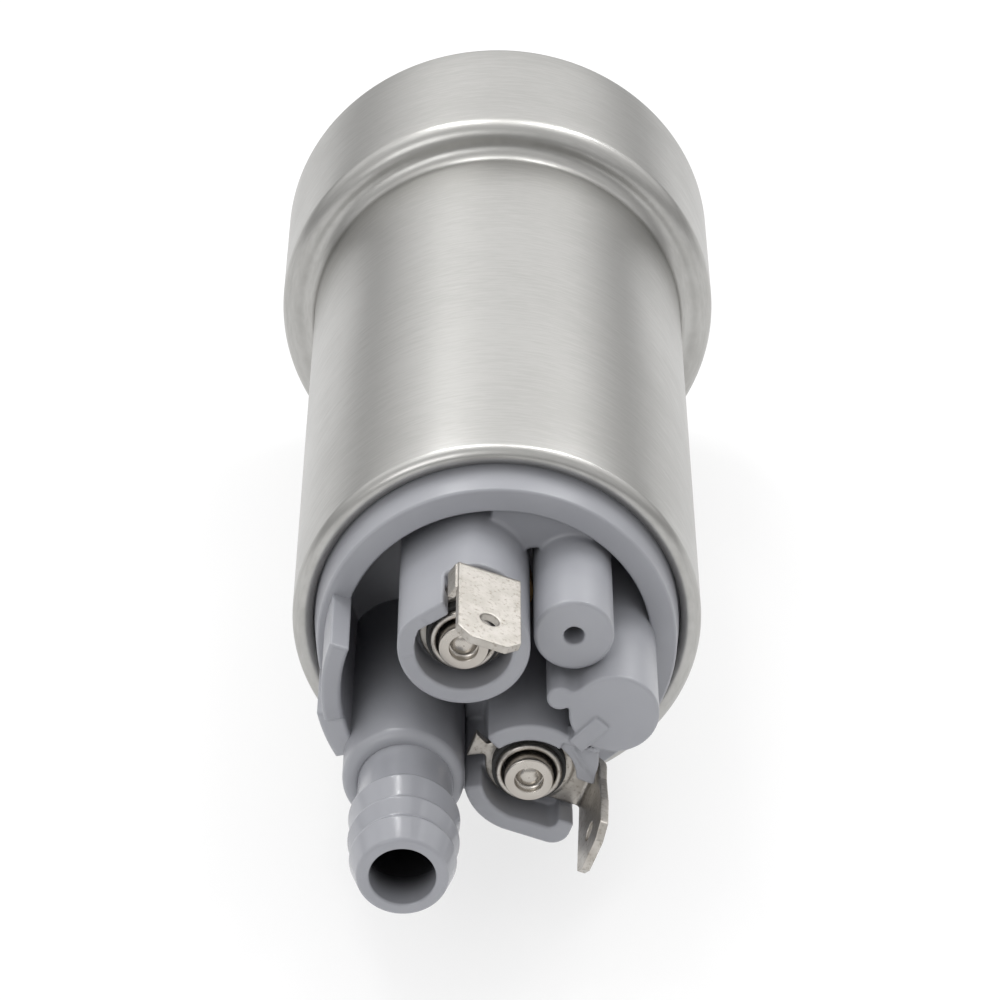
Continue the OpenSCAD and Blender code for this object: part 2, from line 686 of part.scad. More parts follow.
// Crimped ferrule that joins a brush lead to its terminal
module ferrule() {
    dish = 1.6;
    difference() {
        rotate_extrude($fn = small_fn) polygon(concat(
            [[0, ferrule_low], [ferrule_d / 2, ferrule_low]],
            arc([ferrule_d / 2 - 0.2, ferrule_top - 0.2], 0.2, 0, 90, 3), [[0, ferrule_top]]));
        translate([0, 0, ferrule_top - 0.9]) cylinder(d = ferrule_hollow, h = 2, $fn = small_fn);
        translate([0, 0, ferrule_top + 0.45]) sphere(r = dish, $fn = small_fn);
        translate([0, 0, ferrule_low - cut]) cylinder(r = lead_r + fit, h = 1 + cut, $fn = 24);
    }
}
module ferrule_positive() { color("silver") place() at_post(true) ferrule(); }
module ferrule_negative() { color("silver") place() at_post(false) ferrule(); }

// Brush gear

module brush() { brush_channel(0, brush_z, brush_top); }
module brush_positive() { color("dimgray") place() at_post(true) brush(); }
module brush_negative() { color("dimgray") place() at_post(false) brush(); }

module brush_lead() {
    translate([0, 0, brush_top + seat])
        cylinder(r = lead_r, h = ferrule_low + 0.9 - brush_top - seat, $fn = 24);
}
module brush_lead_positive() { color("peru") place() at_post(true) brush_lead(); }
module brush_lead_negative() { color("peru") place() at_post(false) brush_lead(); }

module brush_spring() {
    spring(1.9, brush_wire, brush_top + seat, ferrule_low - seat, brush_curls);
}
module brush_spring_positive() { color("silver") place() at_post(true) brush_spring(); }
module brush_spring_negative() { color("silver") place() at_post(false) brush_spring(); }

// Outlet check valve, in the port's root

module check_valve_seat() {
    color("black") place() translate(port_pos) difference() {
        translate([0, 0, under_z]) cylinder(d = check_chamber - 2 * fit, h = check_seat_z - under_z, $fn = round_fn);
        translate([0, 0, under_z - cut]) cylinder(d = check_head - 1.8, h = 2 * floor_t, $fn = small_fn);
    }
}

module check_valve_poppet() {
    head_z = check_seat_z + seat;
    color("whitesmoke") place() translate(port_pos) {
        translate([0, 0, head_z]) cylinder(d = check_head, h = check_head_t, $fn = small_fn);
        translate([0, 0, head_z]) cylinder(r = 1, h = check_stem_top - head_z, $fn = small_fn);
        translate([0, 0, head_z - 1.2])
            cylinder(d1 = check_head - 4, d2 = check_head - 2.6, h = 1.3, $fn = small_fn);
    }
}

module check_valve_spring() {
    color("silver") place() translate(port_pos)
        spring(check_spring_r, check_wire, check_spring_low, check_guide_z - seat, 6);
}

module check_valve_guide() {
    color("whitesmoke") place() translate(port_pos) difference() {
        translate([0, 0, check_guide_z]) cylinder(d = check_chamber - 2 * fit, h = check_guide_t, $fn = round_fn);
        translate([0, 0, check_guide_z - cut]) cylinder(r = 1 + 0.05, h = check_guide_t + 2 * cut, $fn = small_fn);
        for (i = [0:2]) rotate([0, 0, 120 * i]) translate([2.6, 0, check_guide_z - cut])
            cylinder(r = 1.1, h = check_guide_t + 2 * cut, $fn = 24);
    }
}

// Relief valve, in its housing beside the lower tower

module relief_valve_seat() {
    color("goldenrod") place() translate(relief_pos)
        tube(relief_chamber / 2 - fit, relief_seat_bore / 2, under_z, relief_seat_z, small_fn);
}

module relief_valve_ball() {
    color("silver") place() translate(relief_pos) translate([0, 0, relief_ball_z])
        sphere(d = relief_ball, $fn = small_fn);
}

module relief_valve_spring() {
    color("silver") place() translate(relief_pos)
        spring(relief_spring_r, relief_wire, relief_spring_low - relief_wire / 2, relief_roof - seat, 8);
}

// Motor

module flux_ring() {
    color("gray") place() tube(flux_r, flux_in, flux_top - flux_len, flux_top);
}

module magnet() {
    translate([0, 0, stack_mid - magnet_len / 2]) rotate([0, 0, -magnet_span / 2])
        rotate_extrude(angle = magnet_span, $fn = round_fn)
            translate([magnet_in, 0]) square([magnet_t, magnet_len]);
}
module magnet_left() { color("darkslategray") place() rotate([0, 0, 180]) magnet(); }
module magnet_right() { color("darkslategray") place() magnet(); }

// Two sprung strips that press the magnets apart
module magnet_clips() {
    span = 180 - magnet_span - 3;
    color("silver") place() for (a = [90, 270])
        rotate([0, 0, a - span / 2]) translate([0, 0, stack_mid - stack_len / 2])
            rotate_extrude(angle = span, $fn = round_fn)
                translate([magnet_r - 0.9, 0]) square([0.9, stack_len]);
}

module rotor_shaft() {
    color("silver") place() difference() {
        translate([0, 0, shaft_low]) cylinder(r = shaft_r, h = shaft_top - shaft_low, $fn = small_fn);
        translate([shaft_r - flat_cut, -shaft_d, shaft_low - cut])
            cube([shaft_d, 2 * shaft_d, spacer_top - shaft_low + cut]);
    }
}

module slotted_disc(r, r_in) {
    difference() {
        circle(r = r, $fn = round_fn);
        circle(r = r_in, $fn = small_fn);
        for (i = [0:slots - 1]) rotate(360 / slots * i) {
            translate([slot_dist, 0]) circle(d = slot_d, $fn = small_fn);
            translate([slot_dist, -0.7]) square([r, 1.4]);
        }
    }
}

module rotor_laminations() {
    color("dimgray") place() translate([0, 0, stack_low])
        linear_extrude(stack_len) slotted_disc(armature_r, shaft_r + fit);
}

module rotor_insulators() {
    color("darkgreen") place() for (z = [stack_low - insulator_t - seat, stack_top + seat])
        translate([0, 0, z]) linear_extrude(insulator_t) slotted_disc(armature_r - 0.8, shaft_r + fit);
}

// Copper in the slots and the rounded end turns
module rotor_windings() {
    wire_d = slot_d - 0.1;
    low = stack_low - insulator_t - 2 * seat;
    high = stack_top + insulator_t + 2 * seat;
    inner = slot_dist - slot_d / 2 + 0.4;
    outer = commutator_r + base_lip;
    round_r = 1.2;
    color("sienna") place() {
        for (i = [0:slots - 1]) rotate([0, 0, 360 / slots * i]) translate([slot_dist, 0, low - 0.5])
            cylinder(d = wire_d, h = high - low + 1, $fn = small_fn);
        for (end = [[low, -1], [high, 1]]) rotate_extrude($fn = round_fn)
            polygon(concat([[inner, end[0]], [outer, end[0]]],
                [for (p = arc([outer - round_r, overhang - 1.4 * round_r], round_r, 0, 90, 4))
                    [p[0], end[0] + end[1] * p[1]]],
                [for (p = arc([inner + round_r, overhang - 1.4 * round_r], round_r, 90, 180, 4))
                    [p[0], end[0] + end[1] * p[1]]]));
    }
}

module commutator_base() {
    base_z = commutator_z - segment_t - seat;
    color("saddlebrown") place() difference() {
        union() {
            translate([0, 0, base_z - commutator_t]) cylinder(r = commutator_r + base_lip, h = commutator_t, $fn = round_fn);
            translate([0, 0, stack_top + insulator_t + 2 * seat])
                cylinder(r = slot_dist - slot_d / 2, h = base_z - stack_top - insulator_t - 1, $fn = small_fn);
        }
        translate([0, 0, stack_top]) cylinder(r = shaft_r + fit, h = 2 * commutator_z - 2 * stack_top, $fn = small_fn);
    }
}

module commutator_segments() {
    gap = 0.6;
    color("darkslategray") place() difference() {
        tube(commutator_r, shaft_r + 1.2, commutator_z - segment_t, commutator_z);
        for (i = [0:slots - 1]) rotate([0, 0, 360 / slots * (i + 0.5)])
            translate([0, -gap / 2, commutator_z - segment_t - cut]) cube([2 * commutator_r, gap, segment_t + 2 * cut]);
    }
}

module upper_bearing() {
    color("goldenrod") place() tube(bearing_r, shaft_r + fit, under_z + seat, under_z + bearing_len, small_fn);
}

module lower_bearing() {
    color("goldenrod") place()
        tube(bearing_r, shaft_r + fit, boss_top - bearing_len, boss_top, small_fn);
}

// Turbine

function vane_outline(n, r, depth) = [for (i = [0:n - 1]) each
    let (a = 360 * i / n, w = 360 / n, b = w * 0.3)
    [r * [cos(a), sin(a)], r * [cos(a + b), sin(a + b)],
     (r - depth) * [cos(a + b * 1.1), sin(a + b * 1.1)], (r - depth) * [cos(a + w - b * 0.1), sin(a + w - b * 0.1)]]];

module impeller() {
    height = spacer_t - 2 * impeller_gap;
    color("dimgray") place() translate([0, 0, spacer_low + impeller_gap]) difference() {
        union() {
            linear_extrude(height) polygon(vane_outline(vanes, impeller_r, vane_depth));
            translate([0, 0, height * 0.4]) cylinder(r = impeller_r - 0.9, h = height * 0.2, $fn = round_fn);
        }
        difference() {
            translate([0, 0, -cut]) cylinder(r = shaft_r + fit, h = height + 2 * cut, $fn = small_fn);
            translate([shaft_r - flat_cut + fit, -shaft_d, -1]) cube([shaft_d, 2 * shaft_d, height + 2]);
        }
        for (i = [0:3]) rotate([0, 0, 90 * i + 45]) translate([impeller_r / 2, 0, -cut])
            cylinder(r = 1.3, h = height + 2 * cut, $fn = 24);
    }
}

module spacer_ring() {
    color("darkgray") place() tube(plate_r, impeller_r + rim_play, spacer_low, spacer_top);
}

// Flow channel milled in a plate's face, open over most of a turn
module flow_channel(z, start) {
    rotate([0, 0, start]) rotate_extrude(angle = 315, $fn = round_fn)
        translate([channel_dist, z]) circle(d = vane_depth, $fn = small_fn);
}

module channel_plate() {
    chamfer = 0.4;
    groove = 1;
    port_d = 4.4;
    mid = (channel_low + channel_top) / 2;
    color("darkgray") place() difference() {
        union() {
            rotate_extrude($fn = round_fn) polygon([[0, channel_low], [plate_r - chamfer, channel_low],
                [plate_r, channel_low + chamfer], [plate_r, mid - groove / 2],
                [plate_r - 0.9, mid - groove / 2], [plate_r - 0.9, mid + groove / 2],
                [plate_r, mid + groove / 2], [plate_r, channel_top - chamfer],
                [plate_r - chamfer, channel_top], [0, channel_top]]);
            translate([0, 0, channel_top - 1]) cylinder(r = boss_r, h = boss_top - channel_top + 1, $fn = small_fn);
        }
        translate([0, 0, channel_low - cut]) cylinder(r = shaft_r + 0.3, h = base_len, $fn = small_fn);
        translate([0, 0, boss_top - bearing_len - seat])
            cylinder(r = bearing_r + fit, h = bearing_len + 1, $fn = small_fn);
        flow_channel(channel_low, nipple_angle);
        rotate([0, 0, nipple_angle + 300]) translate([channel_dist, 0, channel_low - cut])
            cylinder(d = port_d, h = base_len, $fn = small_fn);
    }
}

module plate_seal() {
    mid = (channel_low + channel_top) / 2;
    color("black") place() rotate_extrude($fn = round_fn)
        translate([plate_r - 0.43, mid]) circle(d = 0.9, $fn = 24);
}

module inlet_plate() {
    face_r = base_r - bead_reach - 0.25;
    face_z = 0.3;
    chamfer = 0.4;
    color("darkgray") place() difference() {
        union() {
            rotate_extrude($fn = round_fn) polygon([[0, face_z], [face_r - chamfer, face_z],
                [face_r, face_z + chamfer], [face_r, plate_low], [plate_r, plate_low],
                [plate_r, plate_top], [0, plate_top]]);
            rotate([0, 0, nipple_angle]) translate([nipple_dist, 0, 0]) rotate_extrude($fn = round_fn)
                polygon([[0, -nipple_len], [nipple_d / 2 - 0.6, -nipple_len],
                    [nipple_d / 2, 0.6 - nipple_len], [nipple_d / 2, plate_low], [0, plate_low]]);
            for (a = [30, 90, 150]) rotate([0, 0, a]) translate([6, -0.8, -0.5]) cube([face_r - 8, 1.6, 1.5]);
            translate([0, 0, -0.8]) cylinder(r = 6, h = 2, $fn = small_fn);
        }
        rotate([0, 0, nipple_angle]) translate([nipple_dist, 0, -nipple_len - cut])
            cylinder(d = nipple_bore, h = nipple_len + plate_top + 2 * cut, $fn = round_fn);
        translate([0, 0, button_z]) cylinder(r = 3, h = plate_top, $fn = small_fn);
        flow_channel(plate_top, nipple_angle);
        // Vapour bleed hole in the channel, away from the inlet
        rotate([0, 0, nipple_angle + 120]) translate([channel_dist, 0, -2]) cylinder(d = 1.2, h = base_len, $fn = 24);
    }
}

module thrust_button() {
    color("whitesmoke") place() translate([0, 0, button_z]) cylinder(r = 3 - fit, h = button_t, $fn = small_fn);
}

can();
outlet_cover();
cover_seal();
terminal_positive();
terminal_negative();
terminal_ring_positive();
terminal_ring_negative();
ferrule_positive();
ferrule_negative();
brush_lead_positive();
brush_lead_negative();
brush_spring_positive();
brush_spring_negative();
brush_positive();
brush_negative();
check_valve_seat();
check_valve_poppet();
check_valve_spring();
check_valve_guide();
relief_valve_seat();
relief_valve_ball();
relief_valve_spring();
flux_ring();
magnet_left();
magnet_right();
magnet_clips();
rotor_shaft();
rotor_laminations();
rotor_windings();
rotor_insulators();
commutator_base();
commutator_segments();
upper_bearing();
lower_bearing();
impeller();
spacer_ring();
channel_plate();
plate_seal();
inlet_plate();
thrust_button();
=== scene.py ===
import bpy
import numpy as np
from mathutils import Matrix, Vector


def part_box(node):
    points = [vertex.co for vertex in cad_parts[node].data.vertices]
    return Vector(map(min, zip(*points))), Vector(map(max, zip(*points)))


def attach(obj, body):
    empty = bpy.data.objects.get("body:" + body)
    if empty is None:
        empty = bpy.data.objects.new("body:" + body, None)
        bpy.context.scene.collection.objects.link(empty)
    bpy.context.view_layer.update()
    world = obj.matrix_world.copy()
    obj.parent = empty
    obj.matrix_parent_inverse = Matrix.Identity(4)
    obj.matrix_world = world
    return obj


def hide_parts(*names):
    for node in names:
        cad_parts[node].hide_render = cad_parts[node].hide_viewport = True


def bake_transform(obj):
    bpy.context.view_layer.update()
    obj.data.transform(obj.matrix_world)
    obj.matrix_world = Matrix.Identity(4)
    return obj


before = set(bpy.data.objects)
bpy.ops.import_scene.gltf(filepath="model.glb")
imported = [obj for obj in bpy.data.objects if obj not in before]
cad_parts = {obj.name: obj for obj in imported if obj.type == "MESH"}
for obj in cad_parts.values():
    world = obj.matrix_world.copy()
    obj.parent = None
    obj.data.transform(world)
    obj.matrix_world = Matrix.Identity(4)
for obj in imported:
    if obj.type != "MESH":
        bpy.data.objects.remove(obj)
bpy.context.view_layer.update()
mm = 0.001
canLow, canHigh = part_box("can")
rimY = canLow.y  # the outlet rim's plane
baseR = canHigh.x / mm
canLen = (canHigh.y - canLow.y) / mm
print("frame loaded,", len(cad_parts), "nodes")

# Pieces are worked out with the pump standing up: x and y across it, z up from the outlet rim, in mm


def toRow(points):
    return np.stack([points[:, 0] * mm, rimY - points[:, 2] * mm, points[:, 1] * mm], 1)


def newObject(name, data):
    made = bpy.data.objects.new(name, data)
    bpy.context.scene.collection.objects.link(made)
    return made


# Puts shells of points and quads into one mesh, and says what it rides, is made of and replaces
def makePiece(name, shells, body, nodes, material):
    points = toRow(np.concatenate([s[0] for s in shells]))
    starts = np.cumsum([0] + [len(s[0]) for s in shells[:-1]])
    quads = np.concatenate([s[1] + k for s, k in zip(shells, starts)])
    mesh = bpy.data.meshes.new(name)
    mesh.vertices.add(len(points))
    mesh.vertices.foreach_set("co", points.astype(np.float32).ravel())
    mesh.loops.add(quads.size)
    mesh.loops.foreach_set("vertex_index", quads.astype(np.int32).ravel())
    mesh.polygons.add(len(quads))
    mesh.polygons.foreach_set("loop_start", np.arange(0, quads.size, 4, dtype=np.int32))
    mesh.polygons.foreach_set("use_smooth", np.ones(len(quads), bool))
    mesh.update(calc_edges=True)
    mesh.validate()
    piece = newObject(name, mesh)
    mesh.materials.append(material)
    if body:
        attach(piece, body)
    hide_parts(*nodes)
    print("made", name, len(quads), "quads")
    return piece


# Rounds the corners of a closed outline: each corner is (a, b) or (a, b, radius of its arc), and the
# arc's hub stands that far in from both sides of the corner
def rounded(corners, steps=7):
    path = np.array([c[:2] for c in corners], float)
    radii = [c[2] if len(c) > 2 else 0 for c in corners]
    out = []
    for p, q, s, r in zip(np.roll(path, 1, 0), path, np.roll(path, -1, 0), radii):
        into, away = (q - p) / np.linalg.norm(q - p), (s - q) / np.linalg.norm(s - q)
        half = np.arccos(np.clip(into @ away, -1, 1)) / 2
        if r == 0 or half < 0.01:
            out.append(q[None])
            continue
        reach = r * np.tan(half)
        side = np.sign(into[0] * away[1] - into[1] * away[0])
        hub = q - into * reach + side * r * np.array([-into[1], into[0]])
        first = np.arctan2(*(q - into * reach - hub)[::-1])
        turn = first + side * np.linspace(0, 2 * half, steps)
        out.append(hub + r * np.stack([np.cos(turn), np.sin(turn)], 1))
    return np.concatenate(out)


# Turns a closed outline of (radius, height) about an upright line: point = (r cos a, r sin a, z).
# The last column meets the first, and the points of a pole lie in one place
def lathe(outline, centre=(0, 0), around=256):
    r, z = np.asarray(outline, float).T
    a = np.linspace(0, 2 * np.pi, around, endpoint=False)
    x = centre[0] + r[:, None] * np.cos(a)
    y = centre[1] + r[:, None] * np.sin(a)
    points = np.stack([x, y, np.broadcast_to(z[:, None], x.shape)], -1).reshape(-1, 3)
    i, j = np.meshgrid(np.arange(len(r)), np.arange(around), indexing="ij")
    ii, jj = (i + 1) % len(r), (j + 1) % around
    quads = np.stack([i * around + j, i * around + jj, ii * around + jj, ii * around + j], -1)
    return points, quads.reshape(-1, 4)


# The distance to a rounded corner of two walls: u and v are how far past each, moved in by r
def softCorner(u, v, r):
    return np.minimum(np.maximum(u, v), 0) + np.hypot(np.maximum(u, 0), np.maximum(v, 0)) - r


# Distances to flat outlines, below zero inside. A disc: how far from its centre, less its radius
def disc(x, y, centre, r):
    return np.hypot(x - centre[0], y - centre[1]) - r


# A rectangle: how far x and y are from its middle, less half its sides, with corners of radius r
def slab(x, y, low, high, r=0.0):
    u = np.abs(x - (low[0] + high[0]) / 2) - (high[0] - low[0]) / 2 + r
    v = np.abs(y - (low[1] + high[1]) / 2) - (high[1] - low[1]) / 2 + r
    return softCorner(u, v, r)


# A convex outline whose corners run anticlockwise: how far past the farthest of its sides
def convex(x, y, corners):
    c = np.array(corners, float)
    d = -1e9
    for p, q in zip(c, np.roll(c, -1, 0)):
        way = (q - p) / np.linalg.norm(q - p)
        d = np.maximum(d, (x - p[0]) * way[1] - (y - p[1]) * way[0])
    return d


# How far past a straight edge that faces an angle a: x cos a + y sin a - dist
def beyond(x, y, degrees, dist):
    a = np.radians(degrees)
    return x * np.cos(a) + y * np.sin(a) - dist


# A wedge about the middle from one angle to another: how far past the farther of its two edges
def wedge(x, y, first, last):
    return np.maximum(beyond(x, y, first - 90, 0), beyond(x, y, last + 90, 0))


# Raises a flat outline at distance d from height low to high, with its edges rounded by r
def raised(d, z, low, high, r=0.2):
    return softCorner(d + r, np.abs(z - (low + high) / 2) - (high - low) / 2 + r, r)


# Joins two distances: the lesser one, less k h (1 - h) where they are within k, which is a fillet.
# A carve cuts b's outside from a in the same way
def join(a, b, k):
    h = np.clip(0.5 + 0.5 * (b - a) / k, 0, 1)
    return b + (a - b) * h - k * h * (1 - h)


def carve(a, b, k):
    return -join(-a, b, k)


# Skins the zero level of a distance field with quads: one point in each cell that it crosses, at the
# mean of the crossings on the cell's edges, then moved onto the level along the field's slope.
# Levels of (height, step) from there up make the cells taller where walls are plain
def skin(field, low, high, step, levels=None):
    axes = [np.arange(low[k], high[k] + step, step) for k in range(3)]
    if levels:
        tops = [height for height, _ in levels[1:]] + [high[2]]
        axes[2] = np.concatenate([np.arange(z, top - 0.3 * rise, rise)
                                  for (z, rise), top in zip(levels, tops)])
    count = np.array([len(axis) for axis in axes])
    grid = [axes[0][:, None, None], axes[1][None, :, None], axes[2][None, None, :]]
    values = np.broadcast_to(field(*grid), count).astype(np.float32)
    cells = count - 1
    weight, total = np.zeros(cells.prod()), np.zeros((cells.prod(), 3))
    rows = []
    for k in range(3):
        others = [m for m in range(3) if m != k]
        a = np.take(values, range(count[k] - 1), k)
        b = np.take(values, range(1, count[k]), k)
        inner = np.ones(a.shape, bool)
        for m in others:
            ends = [slice(None)] * 3
            ends[m] = [0, -1]
            inner[tuple(ends)] = False
        at = np.argwhere(((a < 0) != (b < 0)) & inner)
        va, vb = a[tuple(at.T)], b[tuple(at.T)]
        place = np.stack([axes[m][at[:, m]] for m in range(3)], 1)
        place[:, k] += (axes[k][at[:, k] + 1] - place[:, k]) * va / (va - vb)
        around = []
        for m, n in [(1, 1), (0, 1), (0, 0), (1, 0)]:
            cell = at.copy()
            cell[:, others[0]] -= m
            cell[:, others[1]] -= n
            flat = np.ravel_multi_index(tuple(cell.T), cells)
            around.append(flat)
            weight += np.bincount(flat, minlength=len(weight))
            for axis in range(3):
                total[:, axis] += np.bincount(flat, place[:, axis], len(weight))
        ring = np.stack(around, 1)
        flip = (va < 0) == (k == 1)
        rows.append(np.where(flip[:, None], ring[:, ::-1], ring))
    used = np.flatnonzero(weight)
    number = np.full(len(weight), -1)
    number[used] = np.arange(len(used))
    points = total[used] / weight[used, None]
    passes, near, leastSlope, farthest = 3, 1e-3, 0.2, 0.4 * step
    for _ in range(passes):
        f = field(*points.T)
        slope = np.stack([field(*(points + e).T) - field(*(points - e).T)
                          for e in np.eye(3) * near], 1) / (2 * near)
        move = f[:, None] * slope / np.maximum((slope**2).sum(1), leastSlope)[:, None]
        points = points - np.clip(move, -farthest, farthest)
    return points, number[np.concatenate(rows)]


# One output of a material's nodes: sums on it add Math nodes, and add() makes any other node
class Wire:
    def __init__(self, tree, socket=None):
        self.tree, self.socket = tree, socket

    def add(self, kind, settings=None, inputs=None, out=0):
        node = self.tree.nodes.new(kind)
        for key, value in (settings or {}).items():
            setattr(node, key, value)
        for key, value in (inputs or {}).items():
            if isinstance(value, Wire):
                self.tree.links.new(value.socket, node.inputs[key])
            else:
                node.inputs[key].default_value = value
        return Wire(self.tree, node.outputs[out] if node.outputs else None)

    def sum(self, operation, first, second):
        return self.add("ShaderNodeMath", {"operation": operation}, {0: first, 1: second})

    def __add__(self, other):
        return self.sum("ADD", self, other)

    def __sub__(self, other):
        return self.sum("SUBTRACT", self, other)

    def __rsub__(self, other):
        return self.sum("SUBTRACT", other, self)

    def __mul__(self, other):
        return self.sum("MULTIPLY", self, other)

    def __pow__(self, other):
        return self.sum("POWER", self, other)

    __radd__ = __add__
    __rmul__ = __mul__

    # where the camera sees a surface, by itself or in metal or glass
    def seen(self):
        kinds = ("Is Camera Ray", "Is Glossy Ray", "Is Transmission Ray")
        camera, glossy, through = (self.add("ShaderNodeLightPath", out=kind) for kind in kinds)
        return camera + glossy + through

    def stretched(self, scale):
        return self.add("ShaderNodeVectorMath", {"operation": "MULTIPLY"}, {0: self, 1: scale})

    def noise(self, scale, detail=3.0, rough=0.5):
        return self.add("ShaderNodeTexNoise", {}, {
            "Vector": self, "Scale": scale, "Detail": detail, "Roughness": rough})

    def spread(self, low, high, toLow=0.0, toHigh=1.0):
        return self.add("ShaderNodeMapRange", {"interpolation_type": "SMOOTHSTEP"},
                        {"Value": self, 1: low, 2: high, 3: toLow, 4: toHigh})

    def mix(self, first, second):
        return self.add("ShaderNodeMix", {"data_type": "RGBA"}, {0: self, 6: first, 7: second}, 2)

    def bump(self, strength, distance):
        return self.add("ShaderNodeBump", {}, {
            "Height": self, "Strength": strength, "Distance": distance * mm})


# Empties the nodes of a material or a world and wraps its tree
def emptyTree(owner):
    owner.use_nodes = True
    owner.node_tree.nodes.clear()
    return Wire(owner.node_tree)


# Starts a material and gives its object coordinates; close() puts its Principled shader on
def startMaterial(name):
    material = bpy.data.materials.new(name)
    return material, emptyTree(material).add("ShaderNodeTexCoord", out=3)


def close(material, look, colour, metallic, dull, height):
    tree = Wire(material.node_tree)
    shader = tree.add("ShaderNodeBsdfPrincipled", {}, {
        "Base Color": colour, "Metallic": metallic, "Roughness": dull,
        "Normal": height.bump(look["relief"], look["depth"])})
    tree.add("ShaderNodeOutputMaterial", {}, {"Surface": shader})
    return material


def rgb(r, g, b):
    return (r, g, b, 1)


# Brushed, drawn or rolled metal: coarse lines with finer ones between them, and clouds that shift
# the colour and the roughness a little
def brushedMetal(name, look):
    material, at = startMaterial(name)
    lines = at.stretched(look["lines"]).noise(1.0, 2.0, 0.6)
    fine = at.stretched([v * 2.7 for v in look["lines"]]).noise(1.0, 2.0, 0.6)
    clouds = at.noise(look["clouds"])
    grain = lines * 0.6 + fine * 0.4
    marks = clouds * 0.4 + grain * 0.6
    colour = marks.spread(0.38, 0.62).mix(rgb(*look["colour"]), rgb(*look["tint"]))
    dull = clouds * look["vary"] + grain * look["vary"] + (look["rough"] - look["vary"])
    return close(material, look, colour, 1.0, dull, grain)


# Plated, cast or sintered metal: dark spots, which come in from clear to full and lie a little deeper
def speckledMetal(name, look):
    material, at = startMaterial(name)
    spots = at.noise(look["spots"], 4.0, 0.7).spread(look["clear"], look["full"])
    clouds = at.noise(look["clouds"])
    base = clouds.spread(0.3, 0.7).mix(rgb(*look["colour"]), rgb(*look["tint"]))
    colour = spots.mix(base, rgb(*look["dark"]))
    dull = spots * 0.25 + clouds * 0.12 + (look["rough"] - 0.06)
    return close(material, look, colour, 1.0, dull, at.noise(look["spots"] * 0.7) - spots * 0.6)


# Plastics, rubber, carbon and resins: fine moulded grain with faint clouds of colour, and painted shade
# down a bore where one is given
def mouldedFinish(name, look):
    material, at = startMaterial(name)
    clouds = at.noise(look["clouds"])
    grain = at.noise(look["grain"], 3.0, 0.6)
    colour = clouds.spread(0.3, 0.7).mix(rgb(*look["colour"]), rgb(*look["tint"]))
    if "bore" in look:
        # painted shade down a bore: darker inside its radius and below its mouth, each coming in over
        # its fade
        (cx, cy), r, mouth = look["bore"]
        across, down = look["fade"]
        x, y, z = (at.add("ShaderNodeSeparateXYZ", {}, {0: at}, k) for k in range(3))
        off = ((x - cx * mm) ** 2 + (z - cy * mm) ** 2) ** 0.5
        inside = off.spread(r * mm, (r + across) * mm, 1.0, 0.0)
        deep = inside * y.spread(rimY - mouth * mm, rimY - (mouth - down) * mm)
        colour = deep.mix(colour, rgb(*look["deep"]))
    dull = clouds * 0.1 + grain * 0.1 + (look["rough"] - 0.1)
    return close(material, look, colour, 0.0, dull, grain)


